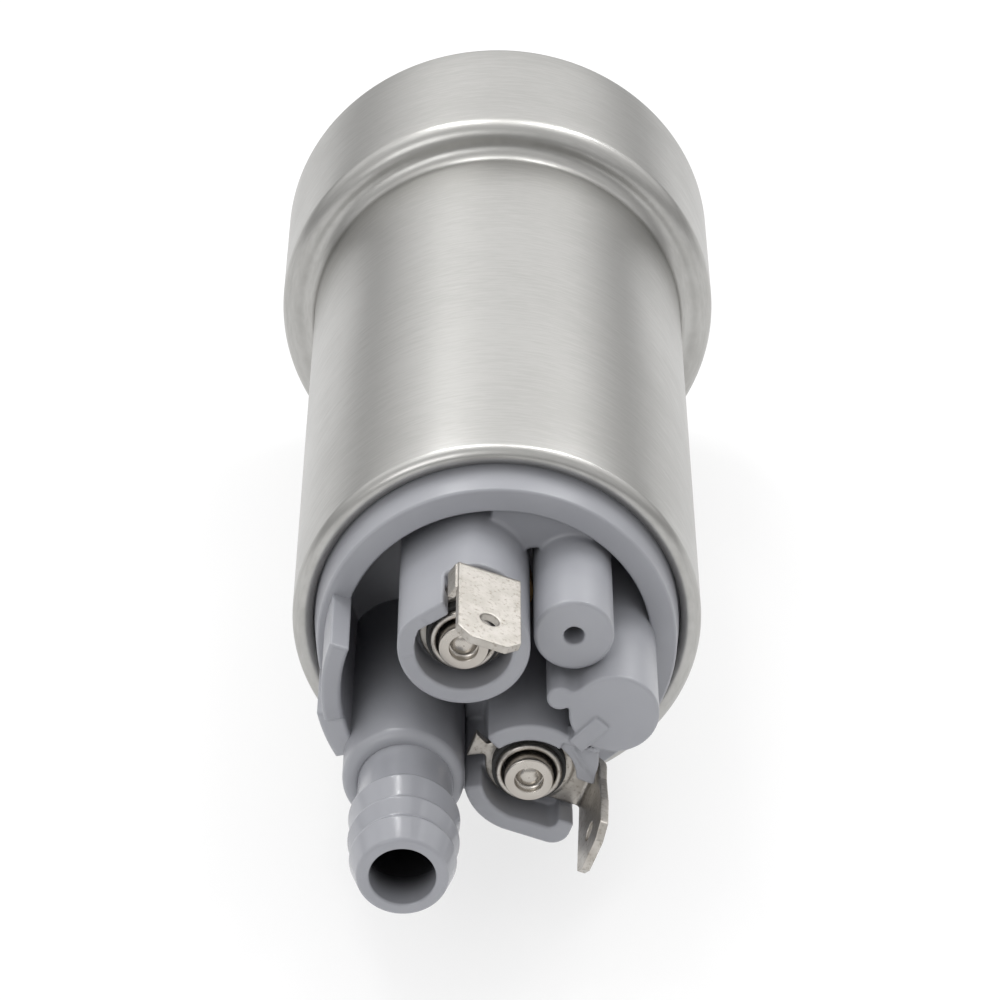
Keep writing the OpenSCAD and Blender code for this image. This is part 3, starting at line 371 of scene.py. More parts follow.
looks = {
    "canSteel": (brushedMetal, dict(
        lines=(320, 3600, 320), clouds=60, colour=(0.48, 0.475, 0.46), tint=(0.42, 0.415, 0.40),
        rough=0.34, vary=0.12, relief=0.32, depth=0.02)),
    "coverPlastic": (mouldedFinish, dict(
        clouds=160, grain=2600, colour=(0.32, 0.325, 0.35), tint=(0.30, 0.305, 0.33),
        rough=0.36, relief=0.06, depth=0.02)),
    "tinnedBlade": (speckledMetal, dict(
        spots=2600, clouds=600, colour=(0.53, 0.505, 0.47), tint=(0.44, 0.415, 0.38),
        dark=(0.33, 0.30, 0.26), rough=0.36, relief=0.25, depth=0.04, clear=0.5, full=0.72)),
    "ferrulePlate": (speckledMetal, dict(
        spots=1100, clouds=260, colour=(0.52, 0.49, 0.45), tint=(0.46, 0.43, 0.39),
        dark=(0.34, 0.30, 0.26), rough=0.28, relief=0.15, depth=0.03, clear=0.66, full=0.8)),
    "blackRubber": (mouldedFinish, dict(
        clouds=220, grain=1800, colour=(0.018, 0.018, 0.018), tint=(0.03, 0.03, 0.03),
        rough=0.6, relief=0.2, depth=0.03)),
    "carbon": (mouldedFinish, dict(
        clouds=400, grain=2400, colour=(0.03, 0.03, 0.033), tint=(0.055, 0.055, 0.06),
        rough=0.5, relief=0.3, depth=0.03)),
    "springSteel": (brushedMetal, dict(
        lines=(900, 900, 900), clouds=300, colour=(0.6, 0.6, 0.6), tint=(0.5, 0.5, 0.5),
        rough=0.28, vary=0.08, relief=0.1, depth=0.01)),
    "strandedCopper": (brushedMetal, dict(
        lines=(5000, 700, 5000), clouds=400, colour=(0.72, 0.36, 0.2), tint=(0.6, 0.28, 0.15),
        rough=0.35, vary=0.1, relief=0.5, depth=0.08)),
    "whitePlastic": (mouldedFinish, dict(
        clouds=200, grain=1800, colour=(0.78, 0.78, 0.74), tint=(0.7, 0.7, 0.66),
        rough=0.42, relief=0.06, depth=0.02)),
    "sinteredBronze": (speckledMetal, dict(
        spots=2200, clouds=300, colour=(0.58, 0.4, 0.2), tint=(0.48, 0.32, 0.16),
        dark=(0.2, 0.13, 0.07), rough=0.42, relief=0.4, depth=0.04, clear=0.56, full=0.68)),
    "rolledSteel": (brushedMetal, dict(
        lines=(70, 3000, 70), clouds=90, colour=(0.4, 0.4, 0.41), tint=(0.33, 0.33, 0.34),
        rough=0.4, vary=0.1, relief=0.15, depth=0.03)),
    "ferrite": (mouldedFinish, dict(
        clouds=260, grain=2600, colour=(0.06, 0.06, 0.066), tint=(0.09, 0.09, 0.095),
        rough=0.55, relief=0.35, depth=0.04)),
    "laminationStack": (brushedMetal, dict(
        lines=(20, 2000, 20), clouds=200, colour=(0.3, 0.31, 0.33), tint=(0.24, 0.25, 0.27),
        rough=0.45, vary=0.12, relief=0.8, depth=0.1)),
    "groundSteel": (brushedMetal, dict(
        lines=(80, 6000, 80), clouds=120, colour=(0.68, 0.68, 0.68), tint=(0.62, 0.62, 0.62),
        rough=0.2, vary=0.06, relief=0.06, depth=0.01)),
    "enamelledCopper": (brushedMetal, dict(
        lines=(2600, 400, 2600), clouds=300, colour=(0.5, 0.19, 0.09), tint=(0.38, 0.13, 0.06),
        rough=0.32, vary=0.1, relief=0.8, depth=0.12)),
    "powderCoat": (mouldedFinish, dict(
        clouds=300, grain=1500, colour=(0.05, 0.18, 0.09), tint=(0.04, 0.14, 0.07),
        rough=0.48, relief=0.3, depth=0.04)),
    "phenolicResin": (mouldedFinish, dict(
        clouds=260, grain=1800, colour=(0.15, 0.065, 0.035), tint=(0.11, 0.045, 0.025),
        rough=0.4, relief=0.15, depth=0.03)),
    "impellerResin": (mouldedFinish, dict(
        clouds=260, grain=2200, colour=(0.06, 0.052, 0.047), tint=(0.04, 0.036, 0.033),
        rough=0.42, relief=0.15, depth=0.03)),
    "castAluminium": (speckledMetal, dict(
        spots=1300, clouds=160, colour=(0.56, 0.56, 0.565), tint=(0.48, 0.48, 0.485),
        dark=(0.34, 0.34, 0.35), rough=0.42, relief=0.3, depth=0.05, clear=0.58, full=0.74)),
}
finishes = {name: make(name, look) for name, (make, look) in looks.items()}
nodeFinishes = {
    "can": "canSteel", "outlet_cover": "coverPlastic", "cover_seal": "blackRubber",
    "terminal_positive": "tinnedBlade", "terminal_negative": "tinnedBlade",
    "terminal_ring_positive": "blackRubber", "terminal_ring_negative": "blackRubber",
    "ferrule_positive": "ferrulePlate", "ferrule_negative": "ferrulePlate",
    "brush_lead_positive": "strandedCopper", "brush_lead_negative": "strandedCopper",
    "brush_spring_positive": "springSteel", "brush_spring_negative": "springSteel",
    "brush_positive": "carbon", "brush_negative": "carbon",
    "check_valve_seat": "blackRubber", "check_valve_poppet": "whitePlastic",
    "check_valve_spring": "springSteel", "check_valve_guide": "whitePlastic",
    "relief_valve_seat": "sinteredBronze", "relief_valve_ball": "groundSteel",
    "relief_valve_spring": "springSteel", "flux_ring": "rolledSteel",
    "magnet_left": "ferrite", "magnet_right": "ferrite", "magnet_clips": "springSteel",
    "rotor_shaft": "groundSteel", "rotor_laminations": "laminationStack",
    "rotor_windings": "enamelledCopper", "rotor_insulators": "powderCoat",
    "commutator_base": "phenolicResin", "commutator_segments": "carbon",
    "upper_bearing": "sinteredBronze", "lower_bearing": "sinteredBronze",
    "impeller": "impellerResin", "spacer_ring": "castAluminium",
    "channel_plate": "castAluminium", "plate_seal": "blackRubber",
    "inlet_plate": "castAluminium", "thrust_button": "whitePlastic",
}
for node, look in nodeFinishes.items():
    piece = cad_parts[node]
    piece.data.materials.clear()
    piece.data.materials.append(finishes[look])
print("materials on", len(nodeFinishes), "nodes")

# The can: one sheet turned about the axis, with a bead at each end
can = dict(bodyR=19.5, baseLen=19, sheet=1, bead=1.05, beadIn=0.8, beadReach=1.96, beadDrop=1.575,
           lip=0.2, bend=1.5, edge=1.75, facet=4)


# The sheet's outline in radius and height: up the outside, round the outlet bead, down the inside
def makeCan():
    c = can
    end, step = -canLen, c["baseLen"] - canLen
    inBody, inBase = c["bodyR"] - c["sheet"], baseR - c["sheet"]
    lipBody, lipBase = c["bodyR"] - c["beadReach"], baseR - c["beadReach"]
    roll = c["bead"] * c["beadIn"]
    outline = rounded([
        (lipBase, end + c["beadDrop"], c["lip"]), (lipBase, end, roll), (baseR, end, c["bead"]),
        (baseR, step, c["edge"]), (c["bodyR"], step, c["bend"]), (c["bodyR"], 0, c["bead"]),
        (lipBody, 0, roll), (lipBody, -c["beadDrop"], c["lip"]), (inBody, -c["beadDrop"]),
        (inBody, step - c["sheet"], c["bend"] + c["sheet"]), (inBase, step - c["sheet"], c["lip"]),
        (inBase, end + c["beadDrop"])], 14)
    # long sides are split into facets
    split = np.concatenate([
        np.linspace(p, q, 1 + int(np.linalg.norm(q - p) // c["facet"]), endpoint=False)
        for p, q in zip(outline, np.roll(outline, -1, 0))])
    makePiece("canShell", [lathe(split, around=360)], "housing", ["can"],
              finishes["canSteel"])


makeCan()

# The outlet cover: collar, posts and towers, locating tab and hose tail of one moulding. An edge is
# the radius of an outer edge, and a cut or a blend is how softly a form is cut out or joined on
cover = dict(collarR=17.34, collarTop=3.3, taper=0.3, collarEdge=(0.32, 0.28), wellR=14.59,
             wellTaper=0.3, wellArc=0.5, floorTop=-8.0, floorLow=-11.0, flangeR=18.4,
             flangeTop=-1.625, half=17.9, high=16.6, cell=0.2, quickCell=0.4, tallCell=0.8,
             shelfBand=(1.2, 2.4), topBand=8.8)
posts = dict(dist=7.9, angle=112.4, towerR=6.1, top=15.4, over=19.4, seat=11.6, sill=1, sillEdge=0.05,
             notch=10.4, armAngle=-20.5, edge=0.3, wellEdge=0.1, cut=0.25)
upperWay = np.radians(posts["angle"])
upperPost = posts["dist"] * np.array([np.cos(upperWay), np.sin(upperWay)])
lowerPost = -upperPost
postFoot = cover["floorTop"] - 1
upper = dict(bore=4.5, flatWay=123, flatOut=5.25, flatIn=3.8, flatCut=1.2, slot=(38, 110),
             slotEdge=0.2, window=(2, 9), rimStep=(140, 190), rimStepR=4, rimStepDrop=0.14,
             rimStepEdge=0.02, rimStepCut=0.05)
lower = dict(bore=4.4, reach=5.7, wall=1.5, corner=1.7, boxFrom=-2, boxSide=0.5, wellFrom=-1,
             wellCorner=0.8, room=3.2, window=(2.2, 9), gapSide=1.35, cutEdge=0.15, blend=0.3,
             ear=(130, 188), earLow=4, earWall=0.2,
             finger=[(0, 0), (5.7, 0), (5.7, 3.2), (4.95, 5.4), (4.1, 5.4), (2.5, 5)],
             fingerEdge=0.25, fingerFace=(3, 2), fingerFrom=1.5, drop=0.3, slopes=(0.45, 0.1),
             ridge=(3.56, 3.83), ridgeWay=48.2, ridgeUp=0.3, ridgeWide=0.2, ridgeHalf=1.9, faceCut=0.12)
relief = dict(centre=(10.835, 0.15), r=4.18, top=15.6, edge=0.28, lobe=(-5.03, 1.7), lobeR=1.2,
              web=((-5.03, 0.85), (-2.5, 2.45)), webBlend=0.25, lobeBlend=0.5,
              bar=((-4.9, -0.6), (-1.2, 1.2)), barTurn=47, barDeep=2, barUp=0.3, barEdge=0.1,
              barBlend=0.05)
vent = dict(centre=(7.1, 7.51), r=3.7, top=13.6, over=17.6, edge=0.3, bore=0.95, boreLow=-4,
            boreEdge=0.1, cut=0.15)
tab = dict(inner=14.49, outer=16.34, low=-1, top=12, edge=0.3, ends=(160, 191), lap=1, footR=17.14,
           footEnd=208, footDrop=0.3, footSlope=0.42, footCut=0.4, blend=0.15)
shelf = dict(corners=[(-0.5, 9.2), (8.6, 10.4), (9.3, 11.2), (8.4, 12.4), (5, 14), (-0.5, 14.8)],
             top=2, edge=0.3)
# barbs are (radius, height, arc) from the neck up to the tip
tail = dict(centre=(-8.498, -7.698), rootCentre=(-8.718, -7.698), rootR=5.7, rootTop=15.5,
            rootEdge=1.0, lipOut=0.1, lipDrop=0.15, neckR=4.45, tip=30.2, boreR=3.03, boreEdge=0.25,
            chamberR=4.2, chamberTop=11, corner=0.1,
            barbs=[(4.45, 20.2, 0.5), (5.2, 21.3, 0.4), (4.45, 23.8, 0.5), (5.2, 24.7, 0.4),
                   (4.4, 26.6, 0.5), (4.95, 27.55, 0.4), (4.15, 30.2, 0.45)])
# the hose tail's plastic is glossier, and its bore is darkened towards the deep colour as painted shade
finishes["tailPlastic"] = mouldedFinish("tailPlastic", dict(
    looks["coverPlastic"][1], rough=0.2, relief=0.03, deep=(0.02, 0.02, 0.022),
    bore=(tail["centre"], tail["boreR"] + 0.27, tail["tip"] - 0.4), fade=(0.3, 4)))


# The way along an arm and across it, from a post
def armWays(x, y, post, degrees):
    a = np.radians(degrees)
    u, v = x - post[0], y - post[1]
    return u * np.cos(a) + v * np.sin(a), v * np.cos(a) - u * np.sin(a)


# A round tower with a flat side: its well, its slot and the window under its arm are cut out
def upperTower(x, y, z):
    p, q = posts, upper
    u, v = x - upperPost[0], y - upperPost[1]
    ring = np.hypot(u, v)
    wall = carve(ring - p["towerR"], -beyond(u, v, q["flatWay"], q["flatOut"]), q["flatCut"])
    well = np.maximum(ring - q["bore"], beyond(u, v, q["flatWay"], q["flatIn"]))
    slot = wedge(u, v, *q["slot"])
    solid = raised(wall, z, postFoot, p["top"], p["edge"])
    solid = carve(solid, raised(well, z, p["seat"], p["over"], p["wellEdge"]), p["cut"])
    solid = carve(solid, raised(slot, z, p["notch"], p["over"], q["slotEdge"]), p["cut"])
    # a faint step where the rim meets its flat
    step = np.maximum(wedge(u, v, *q["rimStep"]), q["rimStepR"] - ring)
    step = raised(step, z, p["top"] - q["rimStepDrop"], p["over"], q["rimStepEdge"])
    solid = carve(solid, step, q["rimStepCut"])
    along, across = armWays(x, y, upperPost, p["armAngle"] + 90)
    start, end = q["window"]
    window = slab(along, across, (start, -lower["room"]), (end, lower["room"]))
    return np.maximum(solid, -raised(window, z, p["seat"], p["seat"] + p["sill"], p["sillEdge"]))


# A round tower with a square corner and a finger: its well, window, gap and ear are cut out
def lowerTower(x, y, z):
    p, q = posts, lower
    along, across = armWays(x, y, lowerPost, p["armAngle"])
    ring = np.hypot(along, across)
    inner, sill = q["reach"] - q["wall"], p["seat"] + p["sill"]
    box = slab(along, across, (q["boxFrom"], -p["towerR"]), (q["reach"], q["boxSide"]), q["corner"])
    solid = raised(np.minimum(ring - p["towerR"], box), z, postFoot, p["top"], p["edge"])
    finger = raised(convex(along, across, q["finger"]), z, postFoot, p["top"], q["fingerEdge"])
    solid = join(solid, finger, q["blend"])
    # the finger's face lies lower than the rim, and falls away on both sides of a ridge along it
    u, v = armWays(along, across, q["ridge"], q["ridgeWay"])
    outward, inward = q["slopes"]
    face = p["top"] - q["drop"] - outward * np.maximum(u, 0) - inward * np.maximum(-u, 0)
    crest = np.exp(-(u / q["ridgeWide"]) ** 2) * np.clip(q["ridgeHalf"] - np.abs(v), 0, 1)
    face = face + q["ridgeUp"] * crest
    middle, half = q["fingerFace"]
    beside = np.maximum(np.abs(across - middle) - half, q["fingerFrom"] - along)
    solid = carve(solid, np.maximum(face - z, beside), q["faceCut"])
    well = slab(along, across, (q["wellFrom"], -q["bore"]), (inner, q["boxSide"]), q["wellCorner"])
    well = join(ring - q["bore"], well, q["blend"])
    solid = carve(solid, raised(well, z, p["seat"], p["over"], p["wellEdge"]), p["cut"])
    start, end = q["window"]
    window = slab(along, across, (start, -q["room"]), (end, q["room"]))
    solid = np.maximum(solid, -raised(window, z, p["seat"], sill, p["sillEdge"]))
    gap = slab(along, across, (start, -q["room"]), (end, q["gapSide"]))
    below = slab(along, across, (inner, -q["room"]), (end, q["room"]))
    solid = carve(solid, raised(gap, z, p["seat"], p["over"], q["cutEdge"]), q["blend"])
    solid = carve(solid, raised(below, z, p["notch"], sill, q["cutEdge"]), q["blend"])
    ear = wedge(x - lowerPost[0], y - lowerPost[1], *q["ear"])
    ear = np.maximum(ear, q["bore"] - q["earWall"] - ring)
    return carve(solid, raised(ear, z, q["earLow"], p["over"], q["cutEdge"]), q["blend"])


# A round housing with a lobe on a short web, and a bar across its top
def reliefHousing(x, y, z):
    q = relief
    u, v = x - q["centre"][0], y - q["centre"][1]
    lobe = join(disc(u, v, q["lobe"], q["lobeR"]), slab(u, v, *q["web"]), q["webBlend"])
    flat = join(lobe, np.hypot(u, v) - q["r"], q["lobeBlend"])
    solid = raised(flat, z, postFoot, q["top"], q["edge"])
    along, across = armWays(u, v, (0, 0), q["barTurn"])
    bar = slab(along, across, *q["bar"], q["barEdge"])
    bar = raised(bar, z, q["top"] - q["barDeep"], q["top"] + q["barUp"], q["barEdge"])
    return join(solid, bar, q["barBlend"])


# A round boss with a bore
def ventBoss(x, y, z):
    q = vent
    solid = raised(disc(x, y, q["centre"], q["r"]), z, postFoot, q["top"], q["edge"])
    bore = raised(disc(x, y, q["centre"], q["bore"]), z, q["boreLow"], q["over"], q["boreEdge"])
    return carve(solid, bore, q["cut"])


# Part of a ring from one angle to another: how far from its middle radius, less half its width
def ringPart(x, y, inner, outer, first, last):
    ring = np.abs(np.hypot(x, y) - (inner + outer) / 2) - (outer - inner) / 2
    return np.maximum(ring, wedge(x, y, first, last))


# A curved wall, and beside it a wider foot whose top slopes down outwards
def locatingTab(x, y, z):
    q = tab
    first, last = q["ends"]
    wall = ringPart(x, y, q["inner"], q["outer"], first, last)
    foot = ringPart(x, y, q["inner"], q["footR"], last - q["lap"], q["footEnd"])
    wall, foot = (raised(flat, z, q["low"], q["top"], q["edge"]) for flat in (wall, foot))
    fall = q["top"] - q["footDrop"] - z - q["footSlope"] * (np.hypot(x, y) - q["inner"])
    foot = carve(foot, fall / np.hypot(1, q["footSlope"]), q["footCut"])
    return join(wall, foot, q["blend"])


def floorShelf(x, y, z):
    return raised(convex(x, y, shelf["corners"]), z, postFoot, shelf["top"], shelf["edge"])


# What stands on the floor beside the upper tower, each with how far it blends into those before it
mouldings = [(ventBoss, 0.3), (reliefHousing, 0.25), (lowerTower, 0.25), (locatingTab, 0.2),
             (floorShelf, 0.5)]


def mouldedPosts(x, y, z):
    solid = upperTower(x, y, z)
    for form, blend in mouldings:
        solid = join(solid, form(x, y, z), blend)
    return solid


# The collar, the root and the hose are turned outlines, and the posts are skinned
def makeCover():
    c, t = cover, tail
    collar = rounded([
        (0, c["floorLow"]), (c["flangeR"], c["floorLow"]), (c["flangeR"], c["flangeTop"]),
        (c["collarR"], c["flangeTop"]), (c["collarR"], 0),
        (c["collarR"] - c["taper"], c["collarTop"], c["collarEdge"][0]),
        (c["wellR"], c["collarTop"], c["collarEdge"][1]),
        (c["wellR"] - c["wellTaper"], c["floorTop"], c["wellArc"]), (0, c["floorTop"])], 8)
    lipTop = t["rootTop"] - t["lipDrop"]
    root = rounded([
        (t["chamberR"], postFoot), (t["rootR"], postFoot), (t["rootR"], t["rootTop"], t["rootEdge"]),
        (t["neckR"] + t["lipOut"], lipTop, t["corner"]), (t["chamberR"], lipTop)], 12)
    hose = rounded([
        (t["chamberR"], c["floorLow"]), (t["neckR"], c["floorLow"]),
        (t["neckR"], t["rootTop"], t["corner"]), *t["barbs"], (t["boreR"], t["tip"], t["boreEdge"]),
        (t["boreR"], t["chamberTop"], t["corner"]), (t["chamberR"], t["chamberTop"], t["corner"])], 10)
    step = c["cell"]
    foot = c["floorTop"] - 1.6
    levels = [(foot, c["tallCell"]), (c["shelfBand"][0], step), (c["shelfBand"][1], c["tallCell"]),
              (c["topBand"], step)]
    low, high = (-c["half"], -c["half"], foot), (c["half"], c["half"], c["high"])
    shells = [lathe(collar, around=288), lathe(root, t["rootCentre"], 144),
              skin(mouldedPosts, low, high, step, levels)]
    makePiece("outletCover", shells, "housing", ["outlet_cover"],
              finishes["coverPlastic"])
    makePiece("hoseTail", [lathe(hose, t["centre"], 224)], "housing",
              ["outlet_cover"], finishes["tailPlastic"])


makeCover()

# Terminals: one bent strip each, with a drawn collar round the ferrule. Corners are (along, across)
blade = dict(sheet=0.8, low=11.65, width=6, bend=1.2, dist=6.15, start=2, tip=24.3, chamfer=1.25,
             edge=0.07, cut=0.1, hole=0.92, holeDrop=3.65, holeFrom=4.8, lean=(0, 2), nick=0.6,
             nickEnds=(2.2, 6.4), plateR=4.1, flatGap=0.1, plateBlend=0.35, collarR=3.1,
             collarWall=0.54, collarTop=14.25, collarEdge=0.22, collarBlend=0.45, collarCut=0.25,
             ear=[(-3.4, -0.75), (-3.4, 0.75), (-4.6, 0.62), (-4.6, -0.62)],
             horn=[(-4.4, -0.6), (-4.4, 0.6), (-5.75, 1.35), (-5.75, -1.35)], earBlend=0.4,
             wing=[(-0.8, 2.7), (-0.05, 2.85), (-0.35, 3.25), (-1.6, 3.55), (-1.6, 2.95)],
             wingUp=4.8, wingEdge=0.06, span=(-6, 7.4), side=4.4, margin=0.3, heights=(11.2, 24.8),
             cell=0.085, quickCell=0.2)


# The strip follows a line: out along the arm, round the bend and up the leaning blade
def strip(along, z, lean):
    b = blade
    hub = (b["dist"] + b["sheet"] - b["bend"], b["low"] + b["bend"])
    mid = b["bend"] - b["sheet"] / 2
    u, w = along - hub[0], z - hub[1]
    flat = np.hypot(u - np.clip(u, -hub[0] + b["start"], 0), w + mid)
    a = np.radians(lean)
    p, q = u * np.cos(a) + w * np.sin(a), w * np.cos(a) - u * np.sin(a)
    tall = b["tip"] - hub[1]
    upright = np.maximum(np.abs(p - mid), np.maximum(-q, q - tall) + b["sheet"] / 2)
    farOff = 9.0
    arc = np.where((u > 0) & (q < 0), np.abs(np.hypot(u, w) - mid), farOff)
    return np.minimum(np.minimum(flat, arc), upright) - b["sheet"] / 2, q - tall


# The post that a terminal stands on, and the way of its arm in degrees
def armOf(upperOne):
    return (upperPost, posts["armAngle"] + 90) if upperOne else (lowerPost, posts["armAngle"])


def terminal(upperOne):
    b = blade
    post, turn = armOf(upperOne)
    lean = b["lean"][0 if upperOne else 1]
    top = b["low"] + b["sheet"]

    def field(x, y, z):
        along, across = armWays(x, y, post, turn)
        ring = np.hypot(along, across)
        line, below = strip(along, z, lean)
        # the lower blade is nicked narrower along one side, and both have chamfered tips
        first, last = np.array(b["nickEnds"]) + b["low"] + b["bend"] - b["tip"]
        nick = 0 if upperOne else b["nick"] * np.clip((last - below) / (last - first), 0, 1)
        solid = raised(line, across, -b["width"] / 2, b["width"] / 2 - nick, b["edge"])
        tip = (np.abs(across) - b["width"] / 2 + below + b["chamfer"]) / np.sqrt(2)
        solid = carve(solid, -tip, b["cut"])
        plate = ring - b["plateR"]
        if upperOne:
            flatWay, flatDist = upper["flatWay"] - turn, upper["flatIn"] - b["flatGap"]
            plate = np.maximum(plate, beyond(along, across, flatWay, flatDist))
        else:
            ear, horn = (convex(along, across, b[part]) for part in ("ear", "horn"))
            plate = join(plate, np.minimum(ear, horn), b["earBlend"])
        solid = join(solid, raised(plate, z, b["low"], top, b["edge"]), b["plateBlend"])
        if upperOne:
            edge = b["dist"] + b["sheet"]
            wing = convex(along, across, [(edge + u, v) for u, v in b["wing"]])
            solid = join(solid, raised(wing, z, top, b["low"] + b["wingUp"], b["wingEdge"]), b["cut"])
        collar = raised(ring - b["collarR"], z, b["low"], b["collarTop"], b["collarEdge"])
        solid = join(solid, collar, b["collarBlend"])
        solid = carve(solid, ring - b["collarR"] + b["collarWall"], b["collarCut"])
        hole = np.hypot(across, z - b["tip"] + b["holeDrop"]) - b["hole"]
        return carve(solid, np.maximum(hole, b["holeFrom"] - along), b["cut"])

    return field


def makeTerminals():
    b = blade
    step = b["cell"]
    for side, upperOne in (("Positive", True), ("Negative", False)):
        post, turn = armOf(upperOne)
        a = np.radians(turn)
        corners = np.array([(u, v) for u in b["span"] for v in (-b["side"], b["side"])])
        reach = corners @ np.array([[np.cos(a), np.sin(a)], [-np.sin(a), np.cos(a)]]) + post
        low, high = reach.min(0) - b["margin"], reach.max(0) + b["margin"]
        shell = skin(terminal(upperOne), (*low, b["heights"][0]), (*high, b["heights"][1]), step)
        makePiece("terminal" + side, [shell], "housing",
                  ["terminal_" + side.lower()], finishes["tinnedBlade"])


makeTerminals()

# Ferrules: a turned cup with a domed lead end in it
ferrule = dict(r=2.3, top=15.4, low=10.6, foot=0.1, rim=0.16, bore=1.33, boreEdge=0.12, deep=1.15,
               dome=-0.42)


# The dome is a quarter of an ellipse: r = bore (1 - t) and z = foot + rise sqrt(1 - (1 - t)^2)
def makeFerrules():
    f = ferrule
    t = np.linspace(0, 1, 12)[:, None]
    foot = f["top"] - f["deep"]
    height = foot + (f["deep"] + f["dome"]) * np.sqrt(1 - (1 - t) ** 2)
    dome = np.concatenate([f["bore"] * (1 - t), height], 1)
    cup = rounded([(f["r"], f["low"], f["foot"]), (f["r"], f["top"], f["rim"]),
                   (f["bore"], f["top"], f["boreEdge"]), (f["bore"], foot)], 7)
    outline = np.concatenate([[(0, f["low"])], cup[:-1], dome])
    for side, post in (("Positive", upperPost), ("Negative", lowerPost)):
        makePiece("ferrule" + side, [lathe(outline, post, 128)], "housing",
                  ["ferrule_" + side.lower()], finishes["ferrulePlate"])


makeFerrules()

# Springs and leads reach from the housing to the piece that they push or feed
stretchers = {
    "brush_spring_positive": dict(to="brush_plus", wire=0.5, curls=9),
    "brush_spring_negative": dict(to="brush_minus", wire=0.5, curls=9),
    "check_valve_spring": dict(to="check_valve", wire=0.45, curls=6),
    "relief_valve_spring": dict(to="relief_valve", wire=0.45, curls=8),
    "brush_lead_positive": dict(to="brush_plus"),
    "brush_lead_negative": dict(to="brush_minus"),
}
leadEdge = 0.1


# A wound wire: its middle line is (r cos a, r sin a) and climbs evenly with a, a ring of points
# stands about each place on it, and three quads close each end
def coil(centre, r, wire, low, high, curls, perCurl=24):
    sides = 8
    a = 2 * np.pi * np.arange(curls * perCurl + 1)[:, None] / perCurl
    b = 2 * np.pi * np.arange(sides)[None, :] / sides
    out = r + wire / 2 * np.cos(b)
    climb = low + wire / 2 + (high - low - wire) * a / a[-1]
    points = np.stack([centre[0] + out * np.cos(a), centre[1] + out * np.sin(a),
                       climb + wire / 2 * np.sin(b)], -1)
    i, j = np.meshgrid(np.arange(len(a) - 1), np.arange(sides), indexing="ij")
    here, there, jj = i * sides, (i + 1) * sides, (j + 1) % sides
    quads = np.stack([here + j, there + j, there + jj, here + jj], -1).reshape(-1, 4)
    end = np.array([[0, 1, 2, 3], [0, 3, 4, 7], [4, 5, 6, 7]])
    return points.reshape(-1, 3), np.concatenate([quads, end, end[:, ::-1] + (len(a) - 1) * sides])


# Each fills its own node's box: a spring is a coil, and a lead is a turned rod
def makeStretchers():
    for node, q in stretchers.items():
        first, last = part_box(node)
        centre = ((first.x + last.x) / 2 / mm, (first.z + last.z) / 2 / mm)
        r, low, high = (last.x - first.x) / 2 / mm, (rimY - last.y) / mm, (rimY - first.y) / mm
        if "wire" in q:
            shell = coil(centre, r - q["wire"] / 2, q["wire"], low, high, q["curls"])
            slotName, material = "spring_steel", finishes["springSteel"]
        else:
            rod = rounded([(0, low), (r, low, leadEdge), (r, high, leadEdge), (0, high)])
            shell = lathe(rod, centre, 32)
            slotName, material = "copper_lead", finishes["strandedCopper"]
        words = node.split("_")
        name = words[0] + "".join(word.capitalize() for word in words[1:])
        piece = makePiece(name, [shell], None, [node], material)
        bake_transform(piece)


makeStretchers()

# The camera stands where the photograph was taken from. Its place is measured from the outlet rim
shot = dict(sensor=36, lens=158.4, clip=(0.01, 20), place=(0.00051, -0.35307, 0.22592),
            ahead=(-0.0005, 0.8573, -0.5148), up=(0, 0.5148, 0.8573))


def makeCamera():
    data = bpy.data.cameras.new("camera")
    data.sensor_width, data.lens = shot["sensor"], shot["lens"]
    data.clip_start, data.clip_end = shot["clip"]
    camera = newObject("camera", data)
    ahead, up = Vector(shot["ahead"]), Vector(shot["up"])
    side = ahead.cross(up).normalized()
    turn = Matrix((side, side.cross(ahead), -ahead)).transposed().to_4x4()
    x, y, z = shot["place"]
    camera.matrix_world = Matrix.Translation((x, rimY + y, z)) @ turn
    bpy.context.scene.camera = camera


# White paper under the pump: its colour, and how much of it the camera sees as plain white
paper = dict(half=1.6, colour=(0.9, 0.9, 0.9), white=0.7)


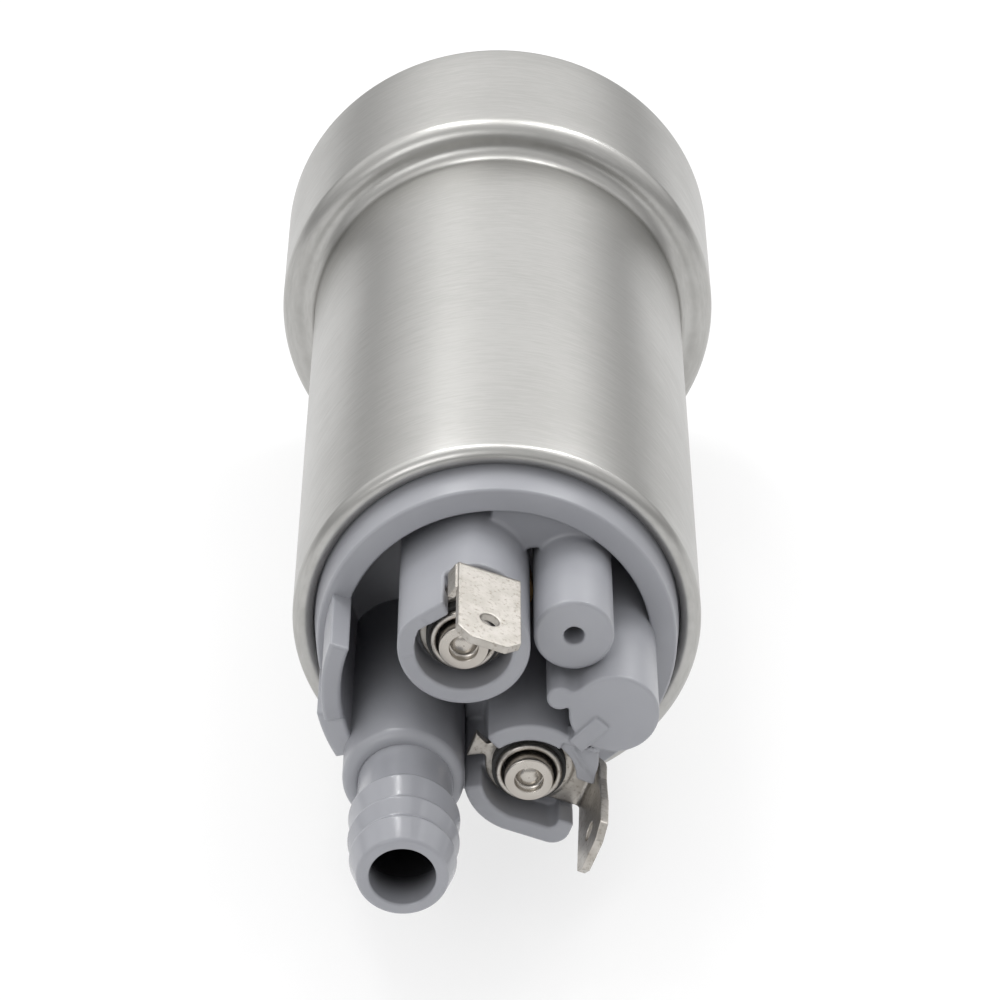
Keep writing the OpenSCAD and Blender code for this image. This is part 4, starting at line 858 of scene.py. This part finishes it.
def makeFloor():
    half, z = paper["half"], -baseR * mm
    corners = [(-half, -half, z), (half, -half, z), (half, half * 2, z), (-half, half * 2, z)]
    mesh = bpy.data.meshes.new("floor")
    mesh.from_pydata(corners, [], [(0, 1, 2, 3)])
    floor = newObject("floor", mesh)
    material = bpy.data.materials.new("floorPaper")
    tree = emptyTree(material)
    dull = tree.add("ShaderNodeBsdfDiffuse", {}, {"Color": rgb(*paper["colour"])})
    white = tree.add("ShaderNodeEmission", {}, {"Color": rgb(1, 1, 1), "Strength": 1.0})
    shown = tree.add("ShaderNodeMixShader", {}, {0: tree.seen() * paper["white"], 1: dull, 2: white})
    tree.add("ShaderNodeOutputMaterial", {}, {"Surface": shown})
    mesh.materials.append(material)


# Two upright soft boxes behind the pump, a broad one over it and one in front, in a pale room
lamps = dict(
    backLeft=dict(way=(-0.235, 0.52, 0.82), dist=0.7, size=(0.06, 0.42), power=1.05),
    backRight=dict(way=(0.37, 0.52, 0.77), dist=0.7, size=(0.07, 0.42), power=0.95),
    overhead=dict(way=(0.0, 0.25, 0.97), dist=0.8, size=(1.3, 0.5), power=1.3),
    upperLeft=dict(way=(-0.4, -0.75, 0.52), dist=0.7, size=(0.3, 0.3), power=0.7),
)
lampAim = (0, -0.03, 0)
# the room's light rises from its least by the sky's share, and by the back's where it faces back
room = dict(least=0.2, sky=0.6, skyEnds=(0.0, 0.42), back=0.4, backEnds=(-0.2, 0.6))


def makeLights():
    for name, lamp in lamps.items():
        data = bpy.data.lights.new(name, "AREA")
        data.shape = "RECTANGLE"
        data.size, data.size_y = lamp["size"]
        data.energy = lamp["power"]
        light = newObject(name, data)
        way = Vector(lamp["way"]).normalized()
        turn = way.to_track_quat("Z", "Y").to_matrix().to_4x4()
        light.matrix_world = Matrix.Translation(Vector(lampAim) + way * lamp["dist"]) @ turn
    world = bpy.data.worlds.new("room")
    bpy.context.scene.world = world
    tree = emptyTree(world)
    at = tree.add("ShaderNodeTexCoord")
    back, height = (tree.add("ShaderNodeSeparateXYZ", {}, {0: at}, k) for k in (1, 2))
    shown = tree.add("ShaderNodeLightPath", out="Is Camera Ray")
    sky = height.spread(*room["skyEnds"])
    level = room["least"] + room["sky"] * sky + room["back"] * sky * back.spread(*room["backEnds"])
    level = shown + (1 - shown) * level
    background = tree.add("ShaderNodeBackground", {}, {"Color": rgb(1, 1, 1), "Strength": level})
    tree.add("ShaderNodeOutputWorld", {}, {"Surface": background})


makeCamera()
makeFloor()
makeLights()
bpy.context.scene.view_settings.view_transform = "Standard"
print("camera, floor and lights set")
